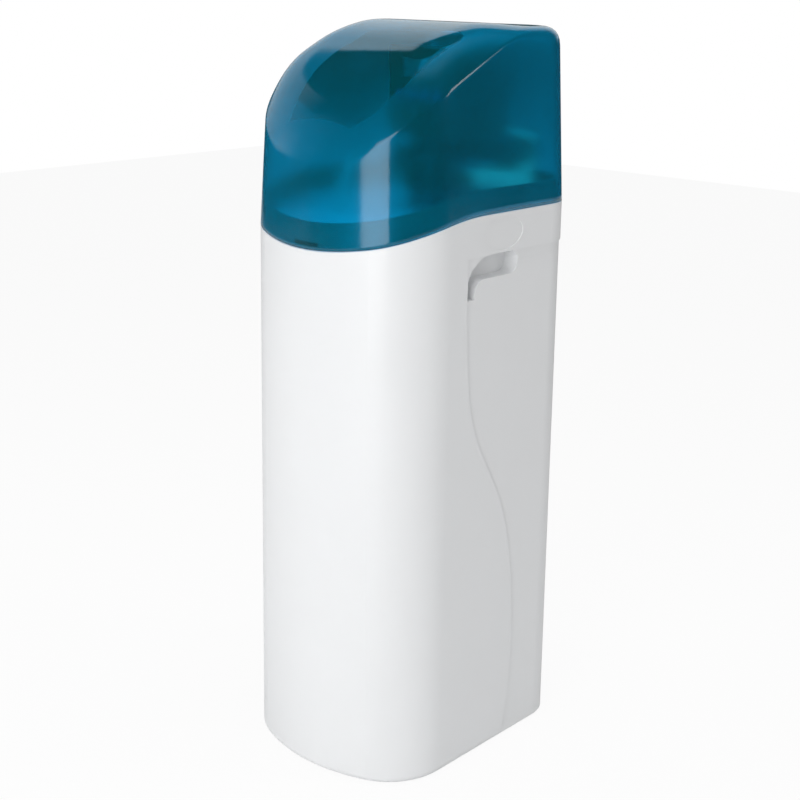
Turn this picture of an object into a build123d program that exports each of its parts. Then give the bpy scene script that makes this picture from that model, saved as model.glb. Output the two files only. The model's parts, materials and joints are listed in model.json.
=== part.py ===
from build123d import *
import os
from math import asin, atan2, cos, degrees, hypot, pi, radians, sin, sqrt, tan

# A cabinet water softener. Millimetres, X to the right, the front faces -Y, Z up.
# The origin is on the floor under the middle of the cabinet.

os.makedirs("parts", exist_ok=True)

# Whole object
width = 340.0
depth = 420.0
height = 1100.5
cut_overrun = 6.0
running_gap = 0.05

# Plan outline of the cabinet and cover
front_bow = 60.0
front_corner = 105.0
rear_corner = 62.0
side_taper = 0.31
front_taper = 0.15
cover_draft = 2.6
cover_rear_draft = 1.8
rear_round = 25.0

# Cabinet
cabinet_wall = 5.0
base_round = 12.0
cavity_round = 8.0
parting_rear = 846.0
parting_radius = 450.0
parting_level_y = -10.0
collar_foot = 775.0
collar_rise = 35.0
collar_wall = 3.6
collar_gap = 0.8
collar_rear_step = 2.6
seam_gap = 0.5
panel_step = 2.0
panel_seam = 788.0
blank_length = 90.0
blank_height = 48.0
blank_depth = 1.0
blank_y = 29.0
blank_z = 816.5
grip_depth = 26.0
grip_wall = 3.5
grip_top = 788.5
grip_front = -50.0
grip_height = 34.0
grip_length = 116.0
grip_tail = 27.0
grip_band = 18.0
grip_bend = 52.0
grip_inner_bend = 22.0
slot_width = 46.0
slot_height = 6.0
slot_z = 809.0

# Cover
cover_wall = 3.0
rim_level_y = 148.0
rim_rear_radius = 300.0
rim_slope = 25.5
rim_bend_y = -80.0
rim_front_radius = 306.0
visor_height = 935.0
swell_rise = 47.0
swell_full_y = -60.0
shoulder_reach = 75.0
pipe_gate_half = 80.0
pipe_gate_top = 935.0
pipe_gate_round = 6.0

# Cover hinge
hinge_out = 7.0
hinge_up = 6.0
hinge_radius = 6.0
hinge_pin = 2.5
hinge_inner_x = 82.0
hinge_lug = 6.0
hinge_knuckle = 11.6
hinge_side_gap = 0.4
hinge_web = 18.0

# Deck and salt flap
deck_z = 826.0
deck_thick = 3.0
deck_front_y = -50.0
deck_gap = 1.5
ledge_reach = 16.0
ledge_height = 18.0
ledge_width = 22.0
ledge_front_y = -34.0
ledge_rear_y = 128.0
deck_screw = 2.0
deck_screw_head = 4.0
deck_screw_length = 14.0
head_height = 2.6
flap_axis_y = -57.0
flap_barrel = 4.0
flap_pin = 2.0
flap_hinge_x = 104.0
flap_knuckle = 12.0
flap_lug = 8.0
flap_gap = 2.5
flap_edge_gap = 6.0
flap_finger = 11.0
shelf_half = 25.0
shelf_reach = 12.0
shelf_height = 11.0

# Resin vessel, its axis behind the middle of the cabinet
tank_y = 70.0
tank_radius = 128.5
tank_wall = 4.0
tank_bottom = 12.0
tank_bottom_rise = 60.0
tank_shoulder = 768.0
tank_top_rise = 52.0
neck_radius = 39.5
neck_bore = 31.0
neck_top = 862.0
boot_wall = 3.0
boot_height = 105.0
boot_round = 6.0
resin_top = 560.0
riser_radius = 16.0
riser_wall = 2.0
riser_low = 24.0
riser_top = 870.0
low_strainer_radius = 26.0
low_strainer_low = 20.0
low_strainer_top = 75.0
top_strainer_radius = 28.0
top_strainer_low = 812.0
strainer_slot = 2.0
strainer_slots = 12

# Brine well and what hangs in it
well_x = -100.0
well_y = -95.0
well_radius = 50.0
well_wall = 3.0
well_top = 795.0
well_hole = 4.0
well_hole_rows = 5
cap_wall = 3.0
cap_skirt = 8.0
cap_gap = 0.3
float_x = -86.0
float_radius = 20.0
float_low = 430.0
float_height = 60.0
float_rod_radius = 2.5
float_rod_low = 80.0
float_rod_top = 750.0
pickup_x = -122.0
pickup_radius = 6.0
pickup_bore = 4.0
air_check_radius = 13.0
air_check_height = 53.0
safety_low = 700.0
safety_height = 36.0
safety_width = 16.0
brine_z = 718.0
brine_out = 8.0
brine_bore = 5.0
brine_rise_y = -30.0
elbow_radius = 10.0
elbow_top = 745.0
line_radius = 4.75
line_bore = 3.1
line_z = 905.0
line_low_bend = 60.0
line_high_bend = 20.0
brine_nut_flat = 20.0
brine_nut_length = 17.0
brine_nut_grip = 4.0
grid_z = 60.0
grid_thick = 3.0
grid_gap = 3.0
grid_hole = 5.0
grid_pitch = 16.0
grid_columns = 9
grid_rows = 5
grid_leg = 6.0
grid_leg_x_shares = (-0.12, 0.2, 0.4, 0.41)
grid_leg_y_shares = (-0.42, -0.42, -0.26, 0.03)

# Overflow at the rear wall
overflow_x = 88.0
overflow_z = 740.0
overflow_tube = 9.0
overflow_bore = 6.0
overflow_flange = 14.0
overflow_flange_thick = 3.0
gasket_thick = 2.0
overflow_out = 16.0
overflow_drop = 40.0
overflow_spigot = 8.0
overflow_stop = 8.6
overflow_stop_drop = 15.0
overflow_nut_thick = 8.0
overflow_inside = 12.0

# Control valve
flange_radius = 52.0
flange_height = 16.0
valve_radius = 46.0
valve_waist_top = 918.0
valve_top = 930.0
valve_top_radius = 37.0
valve_stub = 30.8
valve_stub_length = 14.0
port_x = 38.0
port_z = 900.0
port_radius = 16.0
port_bore = 11.0
port_start = 72.0
passage_y = 82.0
passage_bore = 5.0
bypass_front = 160.0
meter_front = 124.0
disc_seat = 8.0
fixed_disc_radius = 28.0
fixed_disc_hole = 6.0
disc_hole_reach = 17.0
moving_disc_radius = 26.0
moving_disc_height = 7.0
bonnet_bore = 27.0
bonnet_height = 20.0
bonnet_roof = 4.0
spindle_radius = 8.0
spindle_flange = 22.0
spindle_flange_height = 3.0
spindle_top = 970.0
bonnet_screw_reach = 32.0
bonnet_screw = 1.75
bonnet_screw_head = 3.3
bonnet_screw_length = 38.0
brine_port_y = 58.0
brine_port_end = -66.0
injector_y = 88.0
injector_z = 890.0
injector_radius = 13.0
injector_end = -62.0
injector_bore = 7.0
injector_depth = 11.0
injector_throat = 1.5
injector_cap_thick = 4.0
injector_screw_reach = 9.5
injector_screw = 1.5
injector_screw_head = 2.6
drain_radius = 11.0
drain_y = 58.0
drain_end = 60.0
drain_bore = 4.5
drain_tube = 8.0
drain_x = 72.0
drain_spigot = 6.35
drain_shoulder = 90.0
drain_tip = 115.0

# Drive
plate_thick = 3.0
plate_half = 57.0
plate_front = 34.0
plate_rear = 150.0
gear_module = 1.5
gear_teeth = 48
pinion_teeth = 12
gear_backlash = 0.15
pressure_angle = 20.0
addendum_share = 0.75
dedendum_share = 1.0
flank_steps = 3
gear_low = 958.0
gear_width = 8.0
gear_hub = 13.0
gear_hub_height = 3.0
motor_radius = 22.0
motor_height = 21.5
motor_shaft = 3.0
motor_shaft_low = 956.0
motor_shaft_top = 985.0
motor_bore_depth = 14.0
motor_flange_half = 30.0
motor_flange_width = 16.0
motor_flange_thick = 2.0
motor_screw_x = 26.5
bracket_z = 970.0
bracket_thick = 2.5
bracket_half = 38.5
bracket_width = 23.0
bracket_hole = 4.0
sensor_post_x = -30.0
sensor_post_y = 36.0
sensor_post = 2.5
sensor_board_width = 26.0
sensor_board_depth = 27.0
board_thick = 1.6
sensor_gap = 0.6
sensor_size = 8.0

# Head
head_half = 62.4
head_front = 27.0
head_rear = 162.0
head_low = 938.0
head_top = 1068.0
head_wall = 2.5
head_round = 8.0
post_x = 52.0
post_front_y = 42.0
post_rear_y = 142.0
post_radius = 4.0
head_screw = 1.75
head_screw_head = 3.3
head_screw_length = 15.0
display_width = 64.0
display_height = 28.0
display_z = 1040.0
button_z = 1000.0
button_pitch = 24.0
buttons = 4
button_radius = 6.0
button_proud = 1.6
button_flange = 7.2
button_flange_thick = 1.2
button_stem = 2.0
button_stem_length = 0.7
button_travel = 1.2
button_play = 0.1
board_y = 36.0
board_half = 47.0
board_low = 984.0
board_top = 1062.0
boss_x = 43.0
boss_radius = 3.0
boss_inset = 4.5
switch_size = 6.0
screen_gap = 0.5
socket_x = -40.0
socket_z = 975.0
socket_radius = 5.0
socket_flange = 6.5
socket_flange_thick = 1.5
socket_bore = 2.8
socket_length = 13.5

# Flow meter
meter_bore = 12.5
spider_thick = 3.0
spider_inset = 4.0
spider_arm = 2.0
spider_hub = 3.0
turbine_axle = 1.0
turbine_hub = 3.5
turbine_tip = 11.9
turbine_blades = 6
turbine_blade = 1.2
turbine_twist = 30.0
turbine_length = 14.0
meter_sensor = 14.0

# Bypass and pipe ends
bypass_half = 60.0
bypass_depth = 30.0
bypass_height = 40.0
bypass_round = 4.0
rotor_y = 175.0
rotor_radius = 13.0
rotor_floor = 4.0
rotor_top = 924.0
rotor_hole = 10.0
cross_bore = 8.0
handle_length = 40.0
handle_width = 11.0
handle_height = 8.0
stub_radius = 18.0
stub_length = 8.0
adaptor_flange = 3.0
adaptor_radius = 16.6
adaptor_seat = 17.0
adaptor_bore = 12.0
adaptor_end = 232.0
adaptor_nut_flat = 44.0
adaptor_nut_length = 14.0
adaptor_nut_lip = 4.0


# Shapes that several pieces share


def body_plan(z):
    """Half width, front and rear of the cabinet's outline at a height."""
    half = width / 2 - z * tan(radians(side_taper))
    return half, -depth / 2 + z * tan(radians(front_taper)), depth / 2


def parting_height(y):
    """Height of the line where the cover meets the cabinet."""
    if y >= parting_level_y:
        return parting_rear
    reach = parting_level_y - y
    return parting_rear - parting_radius + sqrt(parting_radius**2 - reach**2)


parting_front = parting_height(-depth / 2)


def cover_plan(z):
    """Half width, front and rear of the cover's outline at a height."""
    half, _, rear = body_plan(parting_rear)
    _, front, _ = body_plan(parting_front)
    rise = z - parting_rear
    front += (z - parting_front) * tan(radians(cover_draft))
    return half - rise * tan(radians(cover_draft)), front, rear - rise * tan(radians(cover_rear_draft))


def collar_plan(z):
    """Outline of the collar that stands inside the cover."""
    half, front, rear = cover_plan(z)
    gap = cover_wall + collar_gap
    return half - gap, front + gap, rear - gap - collar_rear_step


def plan_arcs(half, front):
    """Centre and radius of the front bow, and centre and start angle of the front corner."""
    bow = (half**2 + front_bow**2) / (2 * front_bow)
    bow_y = front + bow
    corner_x = half - front_corner
    corner_y = bow_y - sqrt((bow - front_corner) ** 2 - corner_x**2)
    return bow, bow_y, corner_x, corner_y, atan2(corner_y - bow_y, corner_x)


def draw_plan(half, front, rear, inset=0.0):
    """Outline with a bowed front, inset on every side."""
    bow, bow_y, corner_x, corner_y, start = plan_arcs(half, front)
    side = half - inset
    back = rear - inset
    round_off = rear_corner - inset
    turn = degrees(start)
    with BuildLine() as outline:
        CenterArc((0, bow_y), bow - inset, -90, turn + 90)
        CenterArc((corner_x, corner_y), front_corner - inset, turn, -turn)
        Line((side, corner_y), (side, back - round_off))
        CenterArc((side - round_off, back - round_off), round_off, 0, 90)
        Line((side - round_off, back), (0, back))
        mirror(about=Plane.YZ)
    make_face(outline.edges())


def plan_block(plan, low, high, inset=0.0, mode=Mode.ADD):
    """Tapered block between two heights."""
    outlines = []
    for z in (low, high):
        with BuildSketch(Plane.XY.offset(z)) as shape:
            draw_plan(*plan(z), inset)
        outlines.append(shape.sketch)
    loft(outlines, ruled=True, mode=mode)


def draw_above_parting(lift):
    """Side view of everything above the parting line, raised by a lift."""
    reach = depth / 2 + cut_overrun + parting_level_y
    far = depth / 2 + cut_overrun
    top = height + cut_overrun
    end_z = parting_height(-far) + lift
    sweep = degrees(asin(reach / parting_radius))
    with BuildLine() as outline:
        CenterArc((parting_level_y, parting_rear + lift - parting_radius), parting_radius, 90, sweep)
        Polyline(
            (-far, end_z),
            (-far, top),
            (far, top),
            (far, parting_rear + lift),
            (parting_level_y, parting_rear + lift),
        )
    make_face(outline.edges())


def cut_above_parting(lift, mode=Mode.SUBTRACT):
    """Cut away everything above the parting line, raised by a lift."""
    with BuildSketch(Plane.YZ) as shape:
        draw_above_parting(lift)
    extrude(shape.sketch, amount=width, both=True, mode=mode)


def tube_y(x, z, radius, start, end, mode=Mode.ADD):
    """Round bar along Y."""
    with BuildSketch(Plane.XZ.offset(-start)) as shape:
        with Locations((x, z)):
            Circle(radius)
    extrude(shape.sketch, amount=start - end, mode=mode)


def tube_x(y, z, radius, start, end, mode=Mode.ADD):
    """Round bar along X."""
    with BuildSketch(Plane.YZ.offset(start)) as shape:
        with Locations((y, z)):
            Circle(radius)
    extrude(shape.sketch, amount=end - start, mode=mode)


def tube_z(x, y, radius, start, end, mode=Mode.ADD):
    """Round bar along Z."""
    with BuildSketch(Plane.XY.offset(start)) as shape:
        with Locations((x, y)):
            Circle(radius)
    extrude(shape.sketch, amount=end - start, mode=mode)


def block(low, high, mode=Mode.ADD):
    """Box between two opposite corners."""
    with BuildSketch(Plane.XY.offset(low[2])) as shape:
        with Locations(((low[0] + high[0]) / 2, (low[1] + high[1]) / 2)):
            Rectangle(high[0] - low[0], high[1] - low[1])
    extrude(shape.sketch, amount=high[2] - low[2], mode=mode)


def save(piece, name):
    """Label a finished piece and write it."""
    piece.part.label = name
    export_step(piece.part, f"parts/{name}.step")


# Cabinet: tank, collar, grips, blanks, stepped rear panel, ledges and hinge lugs

hinge_y = depth / 2 + hinge_out
hinge_z = parting_rear + hinge_up
collar_half, collar_front, collar_rear = collar_plan(deck_z)
ledge_points = [
    (side * (collar_half - collar_wall), y) for side in (-1, 1) for y in (ledge_front_y, ledge_rear_y)
]
deck_screw_points = [(x - ledge_reach / 2 * (1 if x > 0 else -1), y) for x, y in ledge_points]
groove_y_shares = (-0.118, -0.11, -0.061, 0.077, 0.179, 0.186, 0.138)
groove_z_shares = (0.915, 0.82, 0.67, 0.535, 0.315, 0.168, 0.0)


def draw_panel():
    """Side view of the stepped rear panel, behind the curved groove and below the seam."""
    points = [(y * depth, z * panel_seam) for y, z in zip(groove_y_shares, groove_z_shares)]
    far = depth / 2 + cut_overrun
    with BuildLine() as outline:
        Spline(*points)
        Polyline(points[-1], (far, 0), (far, panel_seam), (points[0][0], panel_seam), points[0])
    make_face(outline.edges())


def draw_grip(spread=0.0):
    """Side view of a hand grip: a level band that turns down into a tail at the front."""
    left = grip_front - spread
    top = grip_top + spread
    right = grip_front + grip_length + spread
    low = grip_top - grip_height - spread
    tail = grip_top - grip_height - grip_tail - spread
    inner = grip_front + grip_band + spread
    outer_bend = grip_bend + spread
    inner_bend = grip_inner_bend - spread
    nose = grip_height / 2 + spread
    with BuildLine() as outline:
        Line((left, tail), (left, top - outer_bend))
        CenterArc((left + outer_bend, top - outer_bend), outer_bend, 90, 90)
        Line((left + outer_bend, top), (right - nose, top))
        CenterArc((right - nose, (top + low) / 2), nose, -90, 180)
        Line((right - nose, low), (inner + inner_bend, low))
        CenterArc((inner + inner_bend, low - inner_bend), inner_bend, 90, 90)
        Line((inner, low - inner_bend), (inner, tail))
        Line((inner, tail), (left, tail))
    make_face(outline.edges())


def side_block(draw, inner, outer, mode):
    """Side-view shape extruded on both sides of the cabinet, between two distances from the middle."""
    for side in (-1, 1):
        with BuildSketch(Plane.YZ.offset(side * inner)) as shape:
            draw()
        extrude(shape.sketch, amount=side * (outer - inner), mode=mode)


with BuildPart() as panel_cut:
    with BuildSketch(Plane.YZ):
        draw_panel()
    extrude(amount=width, both=True)
    plan_block(body_plan, -cut_overrun, height, inset=panel_step, mode=Mode.SUBTRACT)

with BuildPart() as collar:
    plan_block(collar_plan, collar_foot, height)
    cut_above_parting(collar_rise)

with BuildPart() as cabinet_space:
    plan_block(body_plan, cabinet_wall, collar_foot, inset=cabinet_wall)
    fillet(cabinet_space.edges().group_by(Axis.Z)[0], cavity_round)
    plan_block(collar_plan, collar_foot, height, inset=collar_wall)
    # The grips' housings stay when the space is cut out of the cabinet
    grip_half, _, _ = body_plan(grip_top)
    housing_start = grip_half - grip_depth - grip_wall
    side_block(lambda: draw_grip(grip_wall), housing_start, width / 2 + cut_overrun, Mode.SUBTRACT)

with BuildPart() as cabinet:
    plan_block(body_plan, 0, parting_rear)
    fillet(cabinet.edges().group_by(Axis.Z)[0], base_round)
    cut_above_parting(0)
    add(panel_cut.part, mode=Mode.SUBTRACT)
    add(collar.part)
    add(cabinet_space.part, mode=Mode.SUBTRACT)
    side_block(draw_grip, grip_half - grip_depth, width / 2 + cut_overrun, Mode.SUBTRACT)
    blank_half, _, _ = body_plan(blank_z)

    def draw_blank():
        with Locations((blank_y, blank_z)):
            Ellipse(blank_length / 2, blank_height / 2)

    side_block(draw_blank, blank_half - blank_depth, width / 2 + cut_overrun, Mode.SUBTRACT)
    # Ledges that carry the deck, and the shelf under the flap
    for x, y in ledge_points:
        side = 1 if x > 0 else -1
        inner_x = x - side * ledge_reach
        outer_x = x + side * collar_wall
        block(
            (min(inner_x, outer_x), y - ledge_width / 2, deck_z - ledge_height),
            (max(inner_x, outer_x), y + ledge_width / 2, deck_z),
        )
    with Locations(Plane.XY.offset(deck_z)):
        with Locations(*deck_screw_points):
            Hole(deck_screw, depth=deck_screw_length)
    shelf_y = collar_front + collar_wall
    block(
        (-shelf_half, shelf_y - collar_wall / 2, deck_z - shelf_height),
        (shelf_half, shelf_y + shelf_reach, deck_z),
    )
    # Finger slot at the front of the collar and the gap for the pipes at its rear
    block(
        (-slot_width / 2, collar_front - cut_overrun, slot_z - slot_height / 2),
        (slot_width / 2, shelf_y + cabinet_wall / 5, slot_z + slot_height / 2),
        Mode.SUBTRACT,
    )
    block(
        (-pipe_gate_half, collar_rear - collar_wall - cut_overrun, parting_rear),
        (pipe_gate_half, depth / 2 + cut_overrun, height),
        Mode.SUBTRACT,
    )
    # Hinge lugs, two on each side
    lug_foot_y = depth / 2 - cabinet_wall / 3
    lug_foot_z = parting_rear - hinge_web
    for side in (-1, 1):
        for start in (hinge_inner_x, hinge_inner_x + hinge_lug + hinge_knuckle + 2 * hinge_side_gap):
            with BuildSketch(Plane.YZ.offset(side * start)):
                with Locations((hinge_y, hinge_z)):
                    Circle(hinge_radius)
                with BuildLine():
                    Polyline(
                        (lug_foot_y, lug_foot_z),
                        (lug_foot_y, parting_rear - seam_gap),
                        (hinge_y - hinge_radius, parting_rear - seam_gap),
                        (hinge_y - hinge_radius, hinge_z),
                        (hinge_y, hinge_z),
                        (hinge_y + hinge_radius / sqrt(2), hinge_z - hinge_radius / sqrt(2)),
                        close=True,
                    )
                make_face()
            extrude(amount=side * hinge_lug)
        tube_x(hinge_y, hinge_z, hinge_pin, 0, side * width / 2, Mode.SUBTRACT)
    overflow_face = depth / 2 - panel_step
    tube_y(
        overflow_x,
        overflow_z,
        overflow_tube,
        depth / 2 - cabinet_wall - cut_overrun,
        depth / 2 + cut_overrun,
        Mode.SUBTRACT,
    )
save(cabinet, "cabinet")


# Cover: a translucent shell with a swelling top


def rim_height(y):
    """Height of the crease where the side walls meet the top."""
    slope = radians(rim_slope)
    if y >= rim_level_y:
        return height
    knee_y = rim_level_y - rim_rear_radius * sin(slope)
    if y >= knee_y:
        return height - rim_rear_radius + sqrt(rim_rear_radius**2 - (rim_level_y - y) ** 2)
    knee_z = height - rim_rear_radius * (1 - cos(slope))
    if y >= rim_bend_y:
        return knee_z - (knee_y - y) * tan(slope)
    bend_z = knee_z - (knee_y - rim_bend_y) * tan(slope)
    centre_y = rim_bend_y + rim_front_radius * sin(slope)
    centre_z = bend_z - rim_front_radius * cos(slope)
    return max(visor_height, centre_z + sqrt(rim_front_radius**2 - (centre_y - y) ** 2))


def edge_distance(x, y):
    """Distance from the cover's edge inwards, negative outside."""
    half, front, _ = cover_plan(rim_height(y))
    bow, bow_y, corner_x, corner_y, start = plan_arcs(half, front)
    across = abs(x)
    if y >= corner_y:
        return half - across
    if atan2(y - bow_y, across) < start:
        return bow - hypot(across, y - bow_y)
    return front_corner - hypot(across - corner_x, y - corner_y)


def top_height(x, y):
    """Height of the cover's top: the crease height and a swell that rises quickly from it."""
    share = min(1, max(0, (rim_level_y - y) / (rim_level_y - swell_full_y)))
    swell = swell_rise * share**2 * (3 - 2 * share)
    near = max(0, 1 - edge_distance(x, y) / shoulder_reach)
    lift = 1 - near**3 if near < 1 else 3 * (1 - near)
    return rim_height(y) + swell * lift


def top_point(x, y, inward):
    """Point of the top, moved inward square to the surface."""
    step = cover_wall / 3
    slope_x = (top_height(x + step, y) - top_height(x - step, y)) / (2 * step)
    slope_y = (top_height(x, y + step) - top_height(x, y - step)) / (2 * step)
    share = inward / sqrt(1 + slope_x**2 + slope_y**2)
    return Vector(x + slope_x * share, y + slope_y * share, top_height(x, y) - share)


def top_face(inward):
    """Smooth face through the points of the top."""
    columns = 56
    rows = 64
    far_x = width / 2 + 2 * cut_overrun
    far_y = depth / 2 + 2 * cut_overrun
    points = [
        [
            top_point(far_x * (2 * i / columns - 1), far_y * (2 * j / rows - 1), inward)
            for i in range(columns + 1)
        ]
        for j in range(rows + 1)
    ]
    return Face.make_surface_from_array_of_points(points, tol=cover_wall / 60)


def cut_rear_round(radius):
    """Round the rear top edge about one axis along X."""
    centre_y = cover_plan(height - rear_round)[2] - rear_round
    centre_z = height - rear_round
    with BuildSketch(Plane.YZ) as shape:
        with Locations((centre_y, centre_z)):
            Rectangle(2 * rear_round, 2 * rear_round, align=(Align.MIN, Align.MIN))
            Circle(radius, mode=Mode.SUBTRACT)
    extrude(shape.sketch, amount=width, both=True, mode=Mode.SUBTRACT)


cover_low = parting_front - cut_overrun
with BuildPart() as cover_space:
    plan_block(cover_plan, cover_low - cut_overrun, height + swell_rise, inset=cover_wall)
    cut_rear_round(rear_round - cover_wall)
    extrude(top_face(cover_wall), amount=height, dir=(0, 0, -1), mode=Mode.INTERSECT)

with BuildPart() as cover:
    plan_block(cover_plan, cover_low, height + swell_rise)
    cut_rear_round(rear_round)
    extrude(top_face(0), amount=height, dir=(0, 0, -1), mode=Mode.INTERSECT)
    cut_above_parting(seam_gap, Mode.INTERSECT)
    add(cover_space.part, mode=Mode.SUBTRACT)
    gate_height = pipe_gate_top - parting_rear + cut_overrun
    with BuildSketch(Plane.XZ.offset(-depth / 2 - cut_overrun)):
        with Locations((0, pipe_gate_top - gate_height / 2)):
            RectangleRounded(2 * pipe_gate_half, gate_height, pipe_gate_round)
        with Locations((0, parting_rear)):
            Rectangle(2 * pipe_gate_half, 4 * pipe_gate_round)
    extrude(amount=rear_corner, mode=Mode.SUBTRACT)
    # Hinge knuckles
    for side in (-1, 1):
        with BuildSketch(Plane.YZ.offset(side * (hinge_inner_x + hinge_lug + hinge_side_gap))):
            with Locations((hinge_y, hinge_z)):
                Circle(hinge_radius)
            with BuildLine():
                Polyline(
                    (depth / 2 - cover_wall / 2, hinge_z - hinge_radius / 2),
                    (depth / 2 - cover_wall / 2, hinge_z + hinge_web),
                    (hinge_y + hinge_radius / sqrt(2), hinge_z + hinge_radius / sqrt(2)),
                    (hinge_y, hinge_z),
                    (hinge_y - hinge_radius * sqrt(3) / 2, hinge_z - hinge_radius / 2),
                    close=True,
                )
            make_face()
        extrude(amount=side * hinge_knuckle)
        tube_x(hinge_y, hinge_z, hinge_pin + running_gap, 0, side * width / 2, Mode.SUBTRACT)
save(cover, "cover")

with BuildPart() as hinge_pins:
    for side in (-1, 1):
        pin_end = hinge_inner_x + 2 * hinge_lug + hinge_knuckle + 2 * hinge_side_gap
        tube_x(hinge_y, hinge_z, hinge_pin, side * hinge_inner_x, side * pin_end)
save(hinge_pins, "hinge_pins")


# Deck that carries the valve, and the salt flap in front of it

flap_axis_z = deck_z + deck_thick / 2
flap_lug_gap = flap_knuckle / 2 + hinge_side_gap


def flap_hinge_block(side, start, end, y_low, y_high):
    """Barrel of the flap's hinge and the web that joins it to a plate."""
    tube_x(flap_axis_y, flap_axis_z, flap_barrel, side * start, side * end)
    block(
        (min(side * start, side * end), y_low, deck_z),
        (max(side * start, side * end), y_high, deck_z + deck_thick),
    )


with BuildPart() as valve_deck:
    with BuildSketch(Plane.XY.offset(deck_z)):
        draw_plan(*collar_plan(deck_z), collar_wall + deck_gap)
        with Locations((0, deck_front_y - depth / 2)):
            Rectangle(width, depth, mode=Mode.SUBTRACT)
        with Locations((0, tank_y)):
            Circle(neck_radius + flap_gap, mode=Mode.SUBTRACT)
        with Locations(*deck_screw_points):
            Circle(deck_screw, mode=Mode.SUBTRACT)
        with Locations((well_x, brine_rise_y)):
            Circle(line_radius + flap_gap, mode=Mode.SUBTRACT)
    extrude(amount=deck_thick)
    for side in (-1, 1):
        near = flap_hinge_x - flap_lug_gap
        far = flap_hinge_x + flap_lug_gap
        flap_hinge_block(side, near - flap_lug, near, flap_axis_y, deck_front_y)
        flap_hinge_block(side, far, far + flap_lug, flap_axis_y, deck_front_y)
        tube_x(flap_axis_y, flap_axis_z, flap_pin, 0, side * width / 2, Mode.SUBTRACT)
save(valve_deck, "valve_deck")

with BuildPart() as deck_screws:
    for x, y in deck_screw_points:
        tube_z(x, y, deck_screw, deck_z - deck_screw_length, deck_z + deck_thick)
        tube_z(x, y, deck_screw_head, deck_z + deck_thick, deck_z + deck_thick + head_height)
save(deck_screws, "deck_screws")

flap_rear_y = flap_axis_y - flap_barrel - hinge_side_gap
with BuildPart() as salt_flap:
    with BuildSketch(Plane.XY.offset(deck_z)):
        draw_plan(*collar_plan(deck_z), collar_wall + flap_edge_gap)
        with Locations((0, flap_rear_y + depth / 2)):
            Rectangle(width, depth, mode=Mode.SUBTRACT)
        with Locations((0, shelf_y + shelf_reach + 2 * flap_finger)):
            Circle(flap_finger, mode=Mode.SUBTRACT)
    extrude(amount=deck_thick)
    for side in (-1, 1):
        near = flap_hinge_x - flap_knuckle / 2
        flap_hinge_block(side, near, near + flap_knuckle, flap_rear_y - flap_barrel, flap_axis_y)
        tube_x(flap_axis_y, flap_axis_z, flap_pin + running_gap, 0, side * width / 2, Mode.SUBTRACT)
save(salt_flap, "salt_flap")

with BuildPart() as flap_pins:
    for side in (-1, 1):
        reach = flap_lug_gap + flap_lug
        near = side * (flap_hinge_x - reach)
        tube_x(flap_axis_y, flap_axis_z, flap_pin, near, side * (flap_hinge_x + reach))
save(flap_pins, "flap_pins")


# Resin vessel

tank_axis = Axis((0, tank_y, 0), (0, 0, 1))
tank_plane = Plane.XZ.offset(-tank_y)


def draw_vessel(inset):
    """Half section of the vessel: a cylinder between two flattened domes."""
    radius = tank_radius - inset
    low = tank_bottom + tank_bottom_rise
    top_rise = tank_top_rise - inset
    with BuildLine() as outline:
        EllipticalCenterArc((0, low), radius, tank_bottom_rise - inset, start_angle=270, arc_size=90)
        Line((radius, low), (radius, tank_shoulder))
        EllipticalCenterArc((0, tank_shoulder), radius, top_rise, start_angle=0, arc_size=90)
        Line((0, tank_shoulder + top_rise), (0, tank_bottom + inset))
    make_face(outline.edges())


def cut_slots(radius, low, high, count):
    """Upright slots around a strainer on the vessel's axis."""
    with Locations((0, tank_y, (low + high) / 2)):
        with PolarLocations(radius, count):
            Box(4 * strainer_slot, strainer_slot, high - low, mode=Mode.SUBTRACT)


with BuildPart() as resin_tank:
    with BuildSketch(tank_plane):
        draw_vessel(0)
    revolve(axis=tank_axis)
    tube_z(0, tank_y, neck_radius, tank_shoulder, neck_top)
    with BuildSketch(tank_plane):
        draw_vessel(tank_wall)
    revolve(axis=tank_axis, mode=Mode.SUBTRACT)
    tube_z(0, tank_y, neck_bore, tank_shoulder, neck_top + cut_overrun, Mode.SUBTRACT)
save(resin_tank, "resin_tank")

with BuildPart() as tank_boot:
    tube_z(0, tank_y, tank_radius + boot_wall, cabinet_wall, cabinet_wall + boot_height)
    fillet(tank_boot.edges().group_by(Axis.Z)[0], boot_round)
    tube_z(0, tank_y, tank_radius, tank_bottom, height, Mode.SUBTRACT)
save(tank_boot, "tank_boot")

with BuildPart() as resin_bed:
    with BuildSketch(tank_plane):
        draw_vessel(tank_wall)
    revolve(axis=tank_axis)
    tube_z(0, tank_y, tank_radius, resin_top, height, Mode.SUBTRACT)
    tube_z(0, tank_y, low_strainer_radius, 0, low_strainer_top, Mode.SUBTRACT)
    tube_z(0, tank_y, riser_radius, 0, height, Mode.SUBTRACT)
save(resin_bed, "resin_bed")

with BuildPart() as riser_tube:
    tube_z(0, tank_y, riser_radius, riser_low, riser_top)
    tube_z(0, tank_y, riser_radius - riser_wall, 0, height, Mode.SUBTRACT)
save(riser_tube, "riser_tube")

with BuildPart() as bottom_strainer:
    tube_z(0, tank_y, low_strainer_radius, low_strainer_low, low_strainer_top)
    inner_low = low_strainer_low + riser_wall
    inner_top = low_strainer_top - riser_wall
    tube_z(0, tank_y, low_strainer_radius - riser_wall, inner_low, inner_top, Mode.SUBTRACT)
    tube_z(0, tank_y, riser_radius, inner_low, height, Mode.SUBTRACT)
    cut_slots(low_strainer_radius, inner_low + riser_wall, inner_top - riser_wall, strainer_slots)
save(bottom_strainer, "bottom_strainer")

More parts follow.
